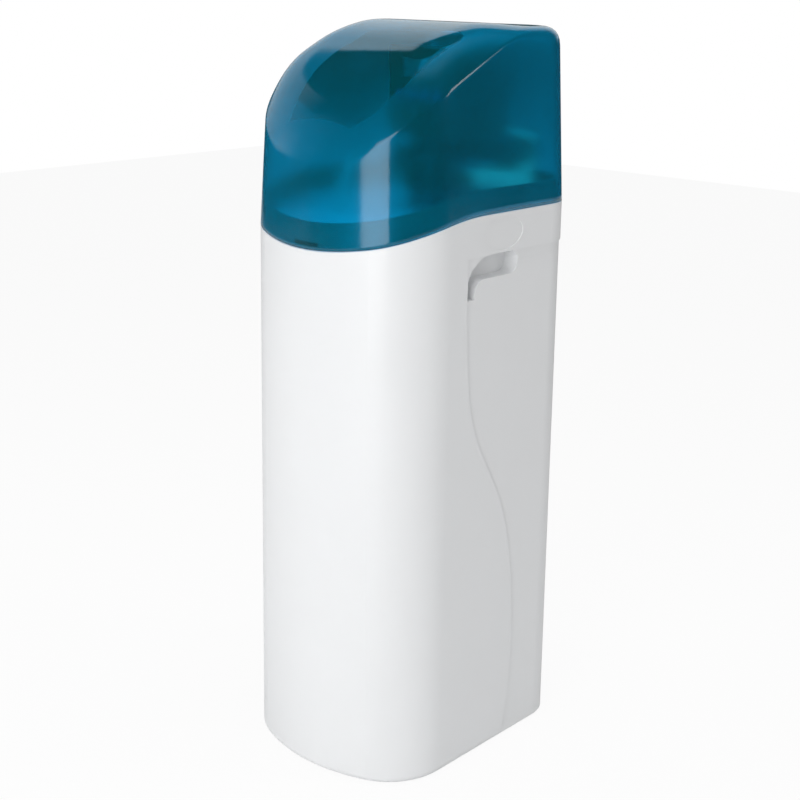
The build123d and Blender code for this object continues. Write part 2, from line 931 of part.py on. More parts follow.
stub_low = neck_top - valve_stub_length
with BuildPart() as top_strainer:
    tube_z(0, tank_y, top_strainer_radius, top_strainer_low, stub_low)
    inner_low = top_strainer_low + riser_wall
    tube_z(0, tank_y, top_strainer_radius - riser_wall, inner_low, height, Mode.SUBTRACT)
    tube_z(0, tank_y, riser_radius, 0, height, Mode.SUBTRACT)
    cut_slots(top_strainer_radius, inner_low + riser_wall, stub_low - 2 * riser_wall, strainer_slots)
save(top_strainer, "top_strainer")


# Brine well, its cap, the safety valve with float and pick-up, and the brine line

with BuildPart() as brine_well:
    tube_z(well_x, well_y, well_radius, cabinet_wall, well_top)
    tube_z(well_x, well_y, well_radius - well_wall, 0, height, Mode.SUBTRACT)
    tube_y(well_x, brine_z, brine_out, well_y, well_y + 2 * well_radius, Mode.SUBTRACT)
    for level in range(well_hole_rows):
        hole_z = cabinet_wall + base_round + level * 3 * well_hole
        tube_y(well_x, hole_z, well_hole, well_y - 2 * well_radius, well_y, Mode.SUBTRACT)
save(brine_well, "brine_well")

cap_radius = well_radius + cap_gap + cap_wall
with BuildPart() as well_cap:
    tube_z(well_x, well_y, cap_radius, well_top - cap_skirt, well_top + cap_wall)
    tube_z(well_x, well_y, well_radius + cap_gap, 0, well_top, Mode.SUBTRACT)
    tube_z(well_x, well_y, elbow_radius, well_top, well_top + 2 * cap_wall)
save(well_cap, "well_cap")

with BuildPart() as safety_valve:
    block(
        (pickup_x - brine_out, well_y - safety_width / 2, safety_low),
        (float_x + brine_out, well_y + safety_width / 2, safety_low + safety_height),
    )
    fillet(safety_valve.edges().filter_by(Axis.Z), safety_width / 4)
    tube_z(float_x, well_y, float_rod_radius + running_gap, 0, height, Mode.SUBTRACT)
    tube_y(well_x, brine_z, brine_out, well_y, brine_rise_y - brine_out)
    tube_y(well_x, brine_z, brine_bore, well_y, depth, Mode.SUBTRACT)
    tube_z(pickup_x, well_y, pickup_bore, safety_low - cut_overrun, brine_z, Mode.SUBTRACT)
    tube_x(well_y, brine_z, pickup_bore, pickup_x, well_x, Mode.SUBTRACT)
save(safety_valve, "safety_valve")

air_check_top = cabinet_wall + air_check_height
with BuildPart() as pickup_tube:
    tube_z(pickup_x, well_y, air_check_radius, cabinet_wall, air_check_top)
    inner_low = cabinet_wall + riser_wall
    inner_radius = air_check_radius - riser_wall
    tube_z(pickup_x, well_y, inner_radius, inner_low, air_check_top - riser_wall, Mode.SUBTRACT)
    with Locations((pickup_x, well_y, cabinet_wall + air_check_height / 2)):
        with PolarLocations(air_check_radius, strainer_slots):
            Box(3 * strainer_slot, strainer_slot, air_check_height / 2, mode=Mode.SUBTRACT)
    tube_z(pickup_x, well_y, pickup_radius, air_check_top, safety_low)
    tube_z(pickup_x, well_y, pickup_bore, inner_low, height, Mode.SUBTRACT)
save(pickup_tube, "pickup_tube")

with BuildPart() as float_rod:
    tube_z(float_x, well_y, float_rod_radius, float_rod_low, float_rod_top)
    for start in (float_low - cap_wall, float_low + float_height, safety_low + safety_height):
        tube_z(float_x, well_y, 2 * float_rod_radius, start, start + cap_wall)
save(float_rod, "float_rod")

with BuildPart() as float_body:
    tube_z(float_x, well_y, float_radius, float_low, float_low + float_height)
    fillet(float_body.edges().filter_by(GeomType.CIRCLE), float_radius / 4)
    tube_z(float_x, well_y, float_rod_radius, 0, height, Mode.SUBTRACT)
save(float_body, "float_body")

elbow_low_y = brine_rise_y - elbow_radius - riser_wall
with BuildPart() as brine_elbow:
    tube_y(well_x, brine_z, elbow_radius, elbow_low_y, brine_rise_y)
    with Locations((well_x, brine_rise_y, brine_z)):
        Sphere(elbow_radius)
    tube_z(well_x, brine_rise_y, brine_out, brine_z, elbow_top)
    tube_y(well_x, brine_z, brine_out, elbow_low_y - cut_overrun, brine_rise_y - brine_out, Mode.SUBTRACT)
    tube_y(well_x, brine_z, brine_bore, elbow_low_y, brine_rise_y, Mode.SUBTRACT)
    tube_z(well_x, brine_rise_y, brine_bore, brine_z, elbow_top + cut_overrun, Mode.SUBTRACT)
save(brine_elbow, "brine_elbow")

line_points = [
    (well_x, brine_rise_y, elbow_top),
    (well_x, brine_rise_y, line_z),
    (well_x, brine_port_y, line_z),
    (brine_port_end, brine_port_y, line_z),
]
with BuildPart() as brine_line:
    with BuildLine() as line_route:
        FilletPolyline(*line_points, radius=[line_low_bend, line_high_bend])
    with BuildSketch(Plane.XY.offset(elbow_top)):
        with Locations((well_x, brine_rise_y)):
            Circle(line_radius)
            Circle(line_bore, mode=Mode.SUBTRACT)
    sweep(path=line_route.wires()[0])
save(brine_line, "brine_line")

with BuildPart() as brine_nuts:
    nut_low = elbow_top - brine_nut_grip
    with BuildSketch(Plane.XY.offset(nut_low)):
        with Locations((well_x, brine_rise_y)):
            RegularPolygon(brine_nut_flat / 2, 6, major_radius=False)
    extrude(amount=brine_nut_length)
    tube_z(well_x, brine_rise_y, brine_out, nut_low, elbow_top, Mode.SUBTRACT)
    tube_z(well_x, brine_rise_y, line_radius, elbow_top, height, Mode.SUBTRACT)
    nut_inner = brine_port_end + brine_nut_grip
    with BuildSketch(Plane.YZ.offset(nut_inner)):
        with Locations((brine_port_y, line_z)):
            RegularPolygon(brine_nut_flat / 2, 6, major_radius=False)
    extrude(amount=-brine_nut_length)
    tube_x(brine_port_y, line_z, brine_out, nut_inner, brine_port_end, Mode.SUBTRACT)
    tube_x(brine_port_y, line_z, line_radius, brine_port_end, nut_inner - 2 * brine_nut_length, Mode.SUBTRACT)
save(brine_nuts, "brine_nuts")

grid_legs = [(x * width, y * depth) for x, y in zip(grid_leg_x_shares, grid_leg_y_shares)]
with BuildPart() as salt_grid:
    with BuildSketch(Plane.XY.offset(grid_z)):
        draw_plan(*body_plan(grid_z), cabinet_wall + grid_gap)
        with Locations((0, tank_y + depth / 2)):
            Rectangle(width, depth, mode=Mode.SUBTRACT)
        with Locations((0, tank_y)):
            Circle(tank_radius + boot_wall + grid_gap, mode=Mode.SUBTRACT)
        with Locations((well_x, well_y)):
            Circle(well_radius + grid_gap, mode=Mode.SUBTRACT)
        with Locations((grid_pitch * 2, -depth / 2 + cabinet_wall + 4 * grid_pitch)):
            with GridLocations(grid_pitch, grid_pitch, grid_columns, grid_rows):
                Circle(grid_hole, mode=Mode.SUBTRACT)
    extrude(amount=grid_thick)
    for x, y in grid_legs:
        tube_z(x, y, grid_leg, cabinet_wall, grid_z)
save(salt_grid, "salt_grid")


# Overflow through the rear wall

inner_face = depth / 2 - cabinet_wall
elbow_y = overflow_face + gasket_thick + overflow_flange_thick + overflow_out - overflow_tube
with BuildPart() as overflow_gasket:
    tube_y(overflow_x, overflow_z, overflow_flange, overflow_face, overflow_face + gasket_thick)
    tube_y(overflow_x, overflow_z, overflow_tube, 0, depth, Mode.SUBTRACT)
save(overflow_gasket, "overflow_gasket")

with BuildPart() as overflow_elbow:
    flange_y = overflow_face + gasket_thick
    tube_y(overflow_x, overflow_z, overflow_flange, flange_y, flange_y + overflow_flange_thick)
    tube_y(overflow_x, overflow_z, overflow_tube, inner_face - overflow_inside, elbow_y)
    with Locations((overflow_x, elbow_y, overflow_z)):
        Sphere(overflow_tube)
    stop_z = overflow_z - overflow_stop_drop
    tube_z(overflow_x, elbow_y, overflow_stop, stop_z, overflow_z)
    tube_z(overflow_x, elbow_y, overflow_spigot, overflow_z - overflow_drop, stop_z)
    tube_y(overflow_x, overflow_z, overflow_bore, 0, elbow_y, Mode.SUBTRACT)
    tube_z(overflow_x, elbow_y, overflow_bore, overflow_z - 2 * overflow_drop, overflow_z, Mode.SUBTRACT)
save(overflow_elbow, "overflow_elbow")

with BuildPart() as overflow_nut:
    with BuildSketch(Plane.XZ.offset(-inner_face)):
        with Locations((overflow_x, overflow_z)):
            RegularPolygon(overflow_flange, 6, major_radius=False)
            Circle(overflow_tube, mode=Mode.SUBTRACT)
    extrude(amount=overflow_nut_thick)
save(overflow_nut, "overflow_nut")


# Control valve: body, discs, spindle, bonnet, injector and drain

body_top = neck_top + flange_height
disc_top = valve_top
disc_low = valve_top - disc_seat
bonnet_top = valve_top + bonnet_height
plate_top = bonnet_top + plate_thick
disc_offset = disc_hole_reach / sqrt(2)
screw_offset = bonnet_screw_reach / sqrt(2)
screw_spots = [(x * screw_offset, tank_y + y * screw_offset) for x in (-1, 1) for y in (-1, 1)]
disc_spots = [(x * disc_offset, tank_y + y * disc_offset) for x in (-1, 1) for y in (-1, 1)]

with BuildPart() as valve_body:
    tube_z(0, tank_y, valve_stub, stub_low, neck_top)
    tube_z(0, tank_y, flange_radius, neck_top, body_top)
    tube_z(0, tank_y, valve_radius, body_top, valve_waist_top)
    tube_z(0, tank_y, valve_top_radius, valve_waist_top, valve_top)
    tube_x(drain_y, port_z, drain_radius, 0, drain_end)
    tube_y(-port_x, port_z, port_radius, port_start, bypass_front)
    tube_y(port_x, port_z, port_radius, port_start, meter_front)
    tube_x(brine_port_y, line_z, brine_out, brine_port_end, 0)
    tube_x(injector_y, injector_z, injector_radius, injector_end, 0)
    # Riser socket and ring channel for the top strainer
    tube_z(0, tank_y, riser_radius, stub_low, riser_top, Mode.SUBTRACT)
    with BuildSketch(Plane.XY.offset(stub_low)):
        with Locations((0, tank_y)):
            Circle(top_strainer_radius - riser_wall)
            Circle(riser_radius + 2 * riser_wall, mode=Mode.SUBTRACT)
    extrude(amount=valve_stub_length, mode=Mode.SUBTRACT)
    # Disc seat and the passages under it
    tube_z(0, tank_y, fixed_disc_radius, disc_low, valve_top, Mode.SUBTRACT)
    for x, y in disc_spots:
        tube_z(x, y, fixed_disc_hole, port_z, disc_low, Mode.SUBTRACT)
    for side in (-1, 1):
        tube_y(side * port_x, port_z, port_bore, passage_y - passage_bore, depth, Mode.SUBTRACT)
        tube_x(passage_y, port_z, passage_bore, side * disc_offset, side * port_x, Mode.SUBTRACT)
    tube_x(brine_port_y, line_z, line_bore, brine_port_end, -disc_offset, Mode.SUBTRACT)
    tube_x(drain_y, port_z, drain_bore, disc_offset, drain_end, Mode.SUBTRACT)
    tube_x(injector_y, injector_z, injector_bore, injector_end, injector_end + injector_depth, Mode.SUBTRACT)
    for side in (-1, 1):
        spot_z = injector_z + side * injector_screw_reach
        tube_x(injector_y, spot_z, injector_screw, injector_end, injector_end + injector_depth, Mode.SUBTRACT)
    for x, y in screw_spots:
        tube_z(x, y, bonnet_screw, plate_top - bonnet_screw_length, valve_top, Mode.SUBTRACT)
save(valve_body, "valve_body")

with BuildPart() as fixed_disc:
    tube_z(0, tank_y, fixed_disc_radius, disc_low, disc_top)
    for x, y in disc_spots:
        tube_z(x, y, fixed_disc_hole, disc_low, disc_top, Mode.SUBTRACT)
save(fixed_disc, "fixed_disc")

spindle_low = disc_top + moving_disc_height
with BuildPart() as moving_disc:
    tube_z(0, tank_y, moving_disc_radius, disc_top + running_gap, spindle_low)
    pocket = disc_offset + fixed_disc_hole
    block(
        (-pocket, tank_y - pocket, disc_top),
        (pocket, tank_y - pocket + 2 * fixed_disc_hole, disc_top + moving_disc_height / 2),
        Mode.SUBTRACT,
    )
    tube_z(disc_offset, tank_y + disc_offset, fixed_disc_hole, disc_top, spindle_low, Mode.SUBTRACT)
save(moving_disc, "moving_disc")

with BuildPart() as disc_spindle:
    tube_z(0, tank_y, spindle_flange, spindle_low, spindle_low + spindle_flange_height)
    tube_z(0, tank_y, spindle_radius, spindle_low, spindle_top)
save(disc_spindle, "disc_spindle")

with BuildPart() as valve_bonnet:
    tube_z(0, tank_y, valve_top_radius, valve_top, bonnet_top)
    tube_z(0, tank_y, bonnet_bore, valve_top, bonnet_top - bonnet_roof, Mode.SUBTRACT)
    tube_z(0, tank_y, spindle_radius + running_gap, valve_top, bonnet_top, Mode.SUBTRACT)
    for x, y in screw_spots:
        tube_z(x, y, bonnet_screw, valve_top, bonnet_top, Mode.SUBTRACT)
save(valve_bonnet, "valve_bonnet")

with BuildPart() as bonnet_screws:
    for x, y in screw_spots:
        tube_z(x, y, bonnet_screw, plate_top - bonnet_screw_length, plate_top)
        tube_z(x, y, bonnet_screw_head, plate_top, plate_top + head_height)
save(bonnet_screws, "bonnet_screws")

injector_foot = injector_end + injector_depth
with BuildPart() as injector_nozzle:
    tube_x(injector_y, injector_z, injector_bore, injector_end, injector_foot)
    tube_x(injector_y, injector_z, injector_throat, injector_end, injector_foot, Mode.SUBTRACT)
    pocket_end = injector_foot - injector_depth / 2
    tube_x(injector_y, injector_z, injector_bore - injector_throat, injector_end, pocket_end, Mode.SUBTRACT)
save(injector_nozzle, "injector_nozzle")

cap_face = injector_end - injector_cap_thick
with BuildPart() as injector_cap:
    tube_x(injector_y, injector_z, injector_radius, cap_face, injector_end)
    for side in (-1, 1):
        spot_z = injector_z + side * injector_screw_reach
        tube_x(injector_y, spot_z, injector_screw, cap_face, injector_end, Mode.SUBTRACT)
save(injector_cap, "injector_cap")

with BuildPart() as injector_screws:
    for side in (-1, 1):
        spot_z = injector_z + side * injector_screw_reach
        tube_x(injector_y, spot_z, injector_screw, cap_face, injector_end + injector_depth)
        tube_x(injector_y, spot_z, injector_screw_head, cap_face - head_height, cap_face)
save(injector_screws, "injector_screws")

with BuildPart() as drain_elbow:
    tube_x(drain_y, port_z, drain_tube, drain_end, drain_x)
    with Locations((drain_x, drain_y, port_z)):
        Sphere(drain_tube)
    tube_y(drain_x, port_z, drain_tube, drain_y, drain_shoulder)
    tube_y(drain_x, port_z, drain_spigot, drain_shoulder, drain_tip)
    tube_x(drain_y, port_z, drain_bore, drain_end, drain_x, Mode.SUBTRACT)
    with Locations((drain_x, drain_y, port_z)):
        Sphere(drain_bore, mode=Mode.SUBTRACT)
    tube_y(drain_x, port_z, drain_bore, drain_y, drain_tip, Mode.SUBTRACT)
save(drain_elbow, "drain_elbow")


# Drive: plate, gears, motor and position sensor

motor_y = tank_y + gear_module * (gear_teeth + pinion_teeth) / 2


def gear_points(teeth, turn):
    """Outline of a spur gear with involute flanks, one tooth at the turn angle."""
    pitch = gear_module * teeth / 2
    base = pitch * cos(radians(pressure_angle))
    tip = pitch + addendum_share * gear_module
    root = pitch - dedendum_share * gear_module
    low = max(base, root)
    start = tan(radians(pressure_angle)) - radians(pressure_angle)
    half = pi / (2 * teeth) - gear_backlash / (4 * pitch) + start
    flank = []
    for step in range(flank_steps + 1):
        radius = low + (tip - low) * step / flank_steps
        roll = sqrt((radius / base) ** 2 - 1)
        flank.append((radius, half - roll + atan2(roll, 1)))
    if root < low:
        flank.insert(0, (root, flank[0][1]))
    points = []
    for tooth in range(teeth):
        middle = radians(turn) + 2 * pi * tooth / teeth
        for radius, angle in flank:
            points.append((radius * cos(middle - angle), radius * sin(middle - angle)))
        for radius, angle in reversed(flank):
            points.append((radius * cos(middle + angle), radius * sin(middle + angle)))
    return points


def draw_gear(teeth, turn, y):
    """Toothed outline on the middle line of the valve."""
    with BuildLine() as outline:
        Polyline(*[(px, py + y) for px, py in gear_points(teeth, turn)], close=True)
    make_face(outline.edges())


with BuildPart() as gear_plate:
    block((-plate_half, plate_front, bonnet_top), (plate_half, plate_rear, plate_top))
    fillet(gear_plate.edges().filter_by(Axis.Z), post_radius)
    tube_z(sensor_post_x, sensor_post_y, sensor_post, plate_top, bracket_z)
    tube_z(0, tank_y, gear_hub, bonnet_top, plate_top, Mode.SUBTRACT)
    for x, y in screw_spots:
        tube_z(x, y, bonnet_screw, bonnet_top, plate_top, Mode.SUBTRACT)
    for x in (-post_x, post_x):
        for y in (post_front_y, post_rear_y):
            tube_z(x, y, head_screw, bonnet_top, plate_top, Mode.SUBTRACT)
save(gear_plate, "gear_plate")

gear_top = gear_low + gear_width
with BuildPart() as spindle_gear:
    with BuildSketch(Plane.XY.offset(gear_low)):
        draw_gear(gear_teeth, 0, tank_y)
    extrude(amount=gear_width)
    tube_z(0, tank_y, gear_hub, gear_low - gear_hub_height, gear_low)
    tube_z(0, tank_y, spindle_radius, 0, height, Mode.SUBTRACT)
save(spindle_gear, "spindle_gear")

with BuildPart() as motor_pinion:
    with BuildSketch(Plane.XY.offset(gear_low)):
        draw_gear(pinion_teeth, 180 / pinion_teeth, motor_y)
    extrude(amount=gear_width)
    tube_z(0, motor_y, motor_shaft, motor_shaft_low, motor_shaft_top)
save(motor_pinion, "motor_pinion")

bracket_top = bracket_z + bracket_thick
with BuildPart() as motor_bracket:
    bracket_rear = motor_y + bracket_width / 2
    bracket_front = motor_y - bracket_width / 2
    block((-bracket_half, bracket_front, plate_top), (bracket_half, bracket_rear, bracket_top))
    inner = bracket_half - bracket_thick
    block((-inner, bracket_front, plate_top), (inner, bracket_rear, bracket_z), Mode.SUBTRACT)
    tube_z(0, motor_y, bracket_hole, 0, height, Mode.SUBTRACT)
    for x in (-motor_screw_x, motor_screw_x):
        tube_z(x, motor_y, injector_screw, bracket_z, bracket_top, Mode.SUBTRACT)
save(motor_bracket, "motor_bracket")

flange_top = bracket_top + motor_flange_thick
with BuildPart() as drive_motor:
    block(
        (-motor_flange_half, motor_y - motor_flange_width / 2, bracket_top),
        (motor_flange_half, motor_y + motor_flange_width / 2, flange_top),
    )
    tube_z(0, motor_y, motor_radius, bracket_top, bracket_top + motor_height)
    tube_z(0, motor_y, motor_shaft + running_gap, bracket_top, bracket_top + motor_bore_depth, Mode.SUBTRACT)
    for x in (-motor_screw_x, motor_screw_x):
        tube_z(x, motor_y, injector_screw, bracket_top, flange_top, Mode.SUBTRACT)
save(drive_motor, "drive_motor")

with BuildPart() as motor_screws:
    for x in (-motor_screw_x, motor_screw_x):
        tube_z(x, motor_y, injector_screw, bracket_z - motor_flange_thick, flange_top)
        tube_z(x, motor_y, injector_screw_head, flange_top, flange_top + head_height)
save(motor_screws, "motor_screws")

with BuildPart() as position_board:
    board_x = sensor_post_x - sensor_board_width / 2 + sensor_post
    board_front = sensor_post_y - sensor_post - gear_hub_height / 2
    block(
        (board_x, board_front, bracket_z),
        (board_x + sensor_board_width, board_front + sensor_board_depth, bracket_z + board_thick),
    )
    block(
        (sensor_post_x + sensor_gap, board_front + sensor_board_depth - sensor_size, gear_top + sensor_gap),
        (sensor_post_x + sensor_gap + sensor_size, board_front + sensor_board_depth, bracket_z),
    )
save(position_board, "position_board")


# Head over the drive: cover, screws, window, board, buttons and power socket

head_spots = [(x, y) for x in (-post_x, post_x) for y in (post_front_y, post_rear_y)]
boss_spots = [(x, z) for x in (-boss_x, boss_x) for z in (board_low + boss_inset, board_top - boss_inset)]
button_spots = [(step - (buttons - 1) / 2) * button_pitch for step in range(buttons)]
inner_front = head_front + head_wall

with BuildPart() as head_cover:
    block((-head_half, head_front, head_low), (head_half, head_rear, head_top))
    fillet(head_cover.edges().filter_by(Axis.Z), head_round)
    fillet(head_cover.edges().group_by(Axis.Z)[-1], head_round / 2)
    inner_half = head_half - head_wall
    with BuildSketch(Plane.XY.offset(head_low)):
        with Locations((0, (head_front + head_rear) / 2)):
            RectangleRounded(2 * inner_half, head_rear - head_front - 2 * head_wall, head_round - head_wall)
    extrude(amount=head_top - head_wall - head_low, mode=Mode.SUBTRACT)
    for x, y in head_spots:
        tube_z(x, y, post_radius, plate_top, head_top - head_wall / 2)
        tube_z(x, y, head_screw, plate_top, bonnet_top + head_screw_length, Mode.SUBTRACT)
    for x, z in boss_spots:
        tube_y(x, z, boss_radius, inner_front - head_wall / 2, board_y)
    block(
        (-display_width / 2, head_front - cut_overrun, display_z - display_height / 2),
        (display_width / 2, inner_front, display_z + display_height / 2),
        Mode.SUBTRACT,
    )
    for x in button_spots:
        tube_y(x, button_z, button_radius + button_play, head_front - cut_overrun, inner_front, Mode.SUBTRACT)
    socket_hole_start = head_rear - 2 * head_wall
    tube_y(socket_x, socket_z, socket_radius, socket_hole_start, head_rear + cut_overrun, Mode.SUBTRACT)
save(head_cover, "head_cover")

with BuildPart() as head_screws:
    for x, y in head_spots:
        tube_z(x, y, head_screw, bonnet_top, bonnet_top + head_screw_length)
        tube_z(x, y, head_screw_head, bonnet_top - head_height, bonnet_top)
save(head_screws, "head_screws")

window_lip = head_wall / 2
with BuildPart() as display_window:
    half_width = display_width / 2
    half_height = display_height / 2
    block(
        (-half_width, head_front, display_z - half_height),
        (half_width, inner_front, display_z + half_height),
    )
    block(
        (-half_width - window_lip, inner_front, display_z - half_height - window_lip),
        (half_width + window_lip, inner_front + window_lip, display_z + half_height + window_lip),
    )
save(display_window, "display_window")

button_depth = button_play + button_flange_thick + button_stem_length
switch_face = inner_front + button_depth + button_travel + button_play
with BuildPart() as control_board:
    block((-board_half, board_y, board_low), (board_half, board_y + board_thick, board_top))
    block(
        (-half_width, inner_front + window_lip + screen_gap, display_z - half_height),
        (half_width, board_y, display_z + half_height),
    )
    for x in button_spots:
        block(
            (x - switch_size / 2, switch_face, button_z - switch_size / 2),
            (x + switch_size / 2, board_y, button_z + switch_size / 2),
        )
save(control_board, "control_board")


def draw_button(x):
    """Round cap with a flange behind the wall and a stem towards its switch."""
    flange_face = inner_front + button_play
    tube_y(x, button_z, button_radius, head_front - button_proud, flange_face)
    tube_y(x, button_z, button_flange, flange_face, flange_face + button_flange_thick)
    stem_start = flange_face + button_flange_thick
    tube_y(x, button_z, button_stem, stem_start, stem_start + button_stem_length)


for number, x in enumerate(button_spots):
    with BuildPart() as button:
        draw_button(x)
    save(button, f"button_{number + 1}")

with BuildPart() as power_socket:
    tube_y(socket_x, socket_z, socket_flange, head_rear, head_rear + socket_flange_thick)
    socket_low = head_rear + socket_flange_thick - socket_length
    tube_y(socket_x, socket_z, socket_radius, socket_low, head_rear)
    tube_y(socket_x, socket_z, socket_bore, socket_low + socket_flange_thick, depth, Mode.SUBTRACT)
    tube_y(socket_x, socket_z, socket_bore / 4, socket_low, head_rear)
save(power_socket, "power_socket")


# Flow meter with its turbine

meter_middle = (meter_front + bypass_front) / 2
spider_starts = (meter_front + spider_inset, bypass_front - spider_inset - spider_thick)
with BuildPart() as flow_meter:
    tube_y(port_x, port_z, port_radius, meter_front, bypass_front)
    block(
        (port_x - meter_sensor / 2, meter_middle - meter_sensor / 2, port_z),
        (port_x + meter_sensor / 2, meter_middle + meter_sensor / 2, port_z + port_radius + cover_wall),
    )
    tube_y(port_x, port_z, meter_bore, meter_front, bypass_front, Mode.SUBTRACT)
    reach = meter_bore + spider_arm / 2
    for start in spider_starts:
        tube_y(port_x, port_z, spider_hub, start, start + spider_thick)
        for wide, high in ((reach, spider_arm / 2), (spider_arm / 2, reach)):
            block(
                (port_x - wide, start, port_z - high),
                (port_x + wide, start + spider_thick, port_z + high),
            )
        tube_y(port_x, port_z, turbine_axle + running_gap, start, start + spider_thick, Mode.SUBTRACT)
save(flow_meter, "flow_meter")

with BuildPart() as turbine:
    for blade in range(turbine_blades):
        spot = Location((port_x, meter_middle, port_z), (0, 360 * blade / turbine_blades, 0))
        with Locations(spot * Location((0, 0, turbine_tip / 2), (0, 0, turbine_twist))):
            Box(turbine_blade, 2 * turbine_length, turbine_tip + turbine_blade)
    blade_low = meter_middle - turbine_length / 2
    tube_y(port_x, port_z, turbine_tip, blade_low, blade_low + turbine_length, Mode.INTERSECT)
    tube_y(port_x, port_z, turbine_hub, blade_low, blade_low + turbine_length)
    axle_inset = spider_inset + spider_thick / 3
    tube_y(port_x, port_z, turbine_axle, meter_front + axle_inset, bypass_front - axle_inset)
save(turbine, "turbine")


# Bypass valve, its two rotors, and the pipe ends

bypass_rear = bypass_front + bypass_depth
bypass_low = port_z - bypass_height / 2
bypass_top = port_z + bypass_height / 2
stub_end = bypass_rear + stub_length
with BuildPart() as bypass_body:
    block((-bypass_half, bypass_front, bypass_low), (bypass_half, bypass_rear, bypass_top))
    fillet(bypass_body.edges().filter_by(Axis.Z), bypass_round)
    for x in (-port_x, port_x):
        tube_y(x, port_z, stub_radius, bypass_rear, stub_end)
        tube_y(x, port_z, port_bore, bypass_front, stub_end, Mode.SUBTRACT)
        tube_z(x, rotor_y, rotor_radius + running_gap, bypass_low + rotor_floor, bypass_top, Mode.SUBTRACT)
    tube_x(rotor_y, port_z, cross_bore, -port_x, port_x, Mode.SUBTRACT)
save(bypass_body, "bypass_body")


def draw_rotor(x):
    """Rotor with a cross hole and a bar handle on top."""
    tube_z(x, rotor_y, rotor_radius, bypass_low + rotor_floor + running_gap, rotor_top)
    tube_y(x, port_z, rotor_hole, bypass_front, bypass_rear, Mode.SUBTRACT)
    block(
        (x - handle_width / 2, rotor_y - handle_length / 2, rotor_top),
        (x + handle_width / 2, rotor_y + handle_length / 2, rotor_top + handle_height),
    )


for x, name in ((-port_x, "rotor_inlet"), (port_x, "rotor_outlet")):
    with BuildPart() as rotor:
        draw_rotor(x)
    save(rotor, name)

with BuildPart() as pipe_adaptors:
    for x in (-port_x, port_x):
        tube_y(x, port_z, stub_radius, stub_end, stub_end + adaptor_flange)
        tube_y(x, port_z, adaptor_seat, stub_end, stub_end + adaptor_flange + adaptor_nut_lip)
        tube_y(x, port_z, adaptor_radius, stub_end, adaptor_end)
        tube_y(x, port_z, adaptor_bore, stub_end, adaptor_end, Mode.SUBTRACT)
save(pipe_adaptors, "pipe_adaptors")

with BuildPart() as adaptor_nuts:
    nut_end = stub_end + adaptor_flange + adaptor_nut_lip
    for x in (-port_x, port_x):
        with BuildSketch(Plane.XZ.offset(-nut_end)):
            with Locations((x, port_z)):
                RegularPolygon(adaptor_nut_flat / 2, 6, major_radius=False)
        extrude(amount=adaptor_nut_length)
        tube_y(x, port_z, stub_radius, 0, nut_end - adaptor_nut_lip, Mode.SUBTRACT)
        tube_y(x, port_z, adaptor_seat, 0, nut_end, Mode.SUBTRACT)
save(adaptor_nuts, "adaptor_nuts")
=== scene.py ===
"""Looks of a cabinet water softener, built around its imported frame.

The cover is modelled anew, in millimetres, on the outline that the solids have. Every other piece keeps its
solid and gets the finish of its slot. Finishes and the studio are in metres.
"""

import json
import logging
import math
from dataclasses import dataclass, field
from enum import Enum
from typing import Callable, Iterable, Mapping, Sequence

import bmesh
import bpy
from mathutils import Matrix, Vector


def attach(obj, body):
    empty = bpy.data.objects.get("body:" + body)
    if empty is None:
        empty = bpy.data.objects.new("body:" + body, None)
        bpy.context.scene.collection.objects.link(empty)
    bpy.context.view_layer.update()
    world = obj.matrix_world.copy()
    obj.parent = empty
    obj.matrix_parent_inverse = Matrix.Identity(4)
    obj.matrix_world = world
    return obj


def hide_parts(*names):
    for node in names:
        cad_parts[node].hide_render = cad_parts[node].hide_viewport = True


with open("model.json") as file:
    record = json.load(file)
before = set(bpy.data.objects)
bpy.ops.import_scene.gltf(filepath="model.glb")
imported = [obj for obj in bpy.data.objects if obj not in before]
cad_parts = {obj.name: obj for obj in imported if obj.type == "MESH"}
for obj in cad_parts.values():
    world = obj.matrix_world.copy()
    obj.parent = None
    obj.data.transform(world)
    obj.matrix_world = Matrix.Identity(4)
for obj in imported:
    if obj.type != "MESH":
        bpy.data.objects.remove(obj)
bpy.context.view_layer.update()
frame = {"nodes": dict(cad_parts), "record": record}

LOG = logging.getLogger("water_softener")
MM = 0.001
Rgb = tuple[float, float, float]
Point = tuple[float, float, float]


# Shader nodes


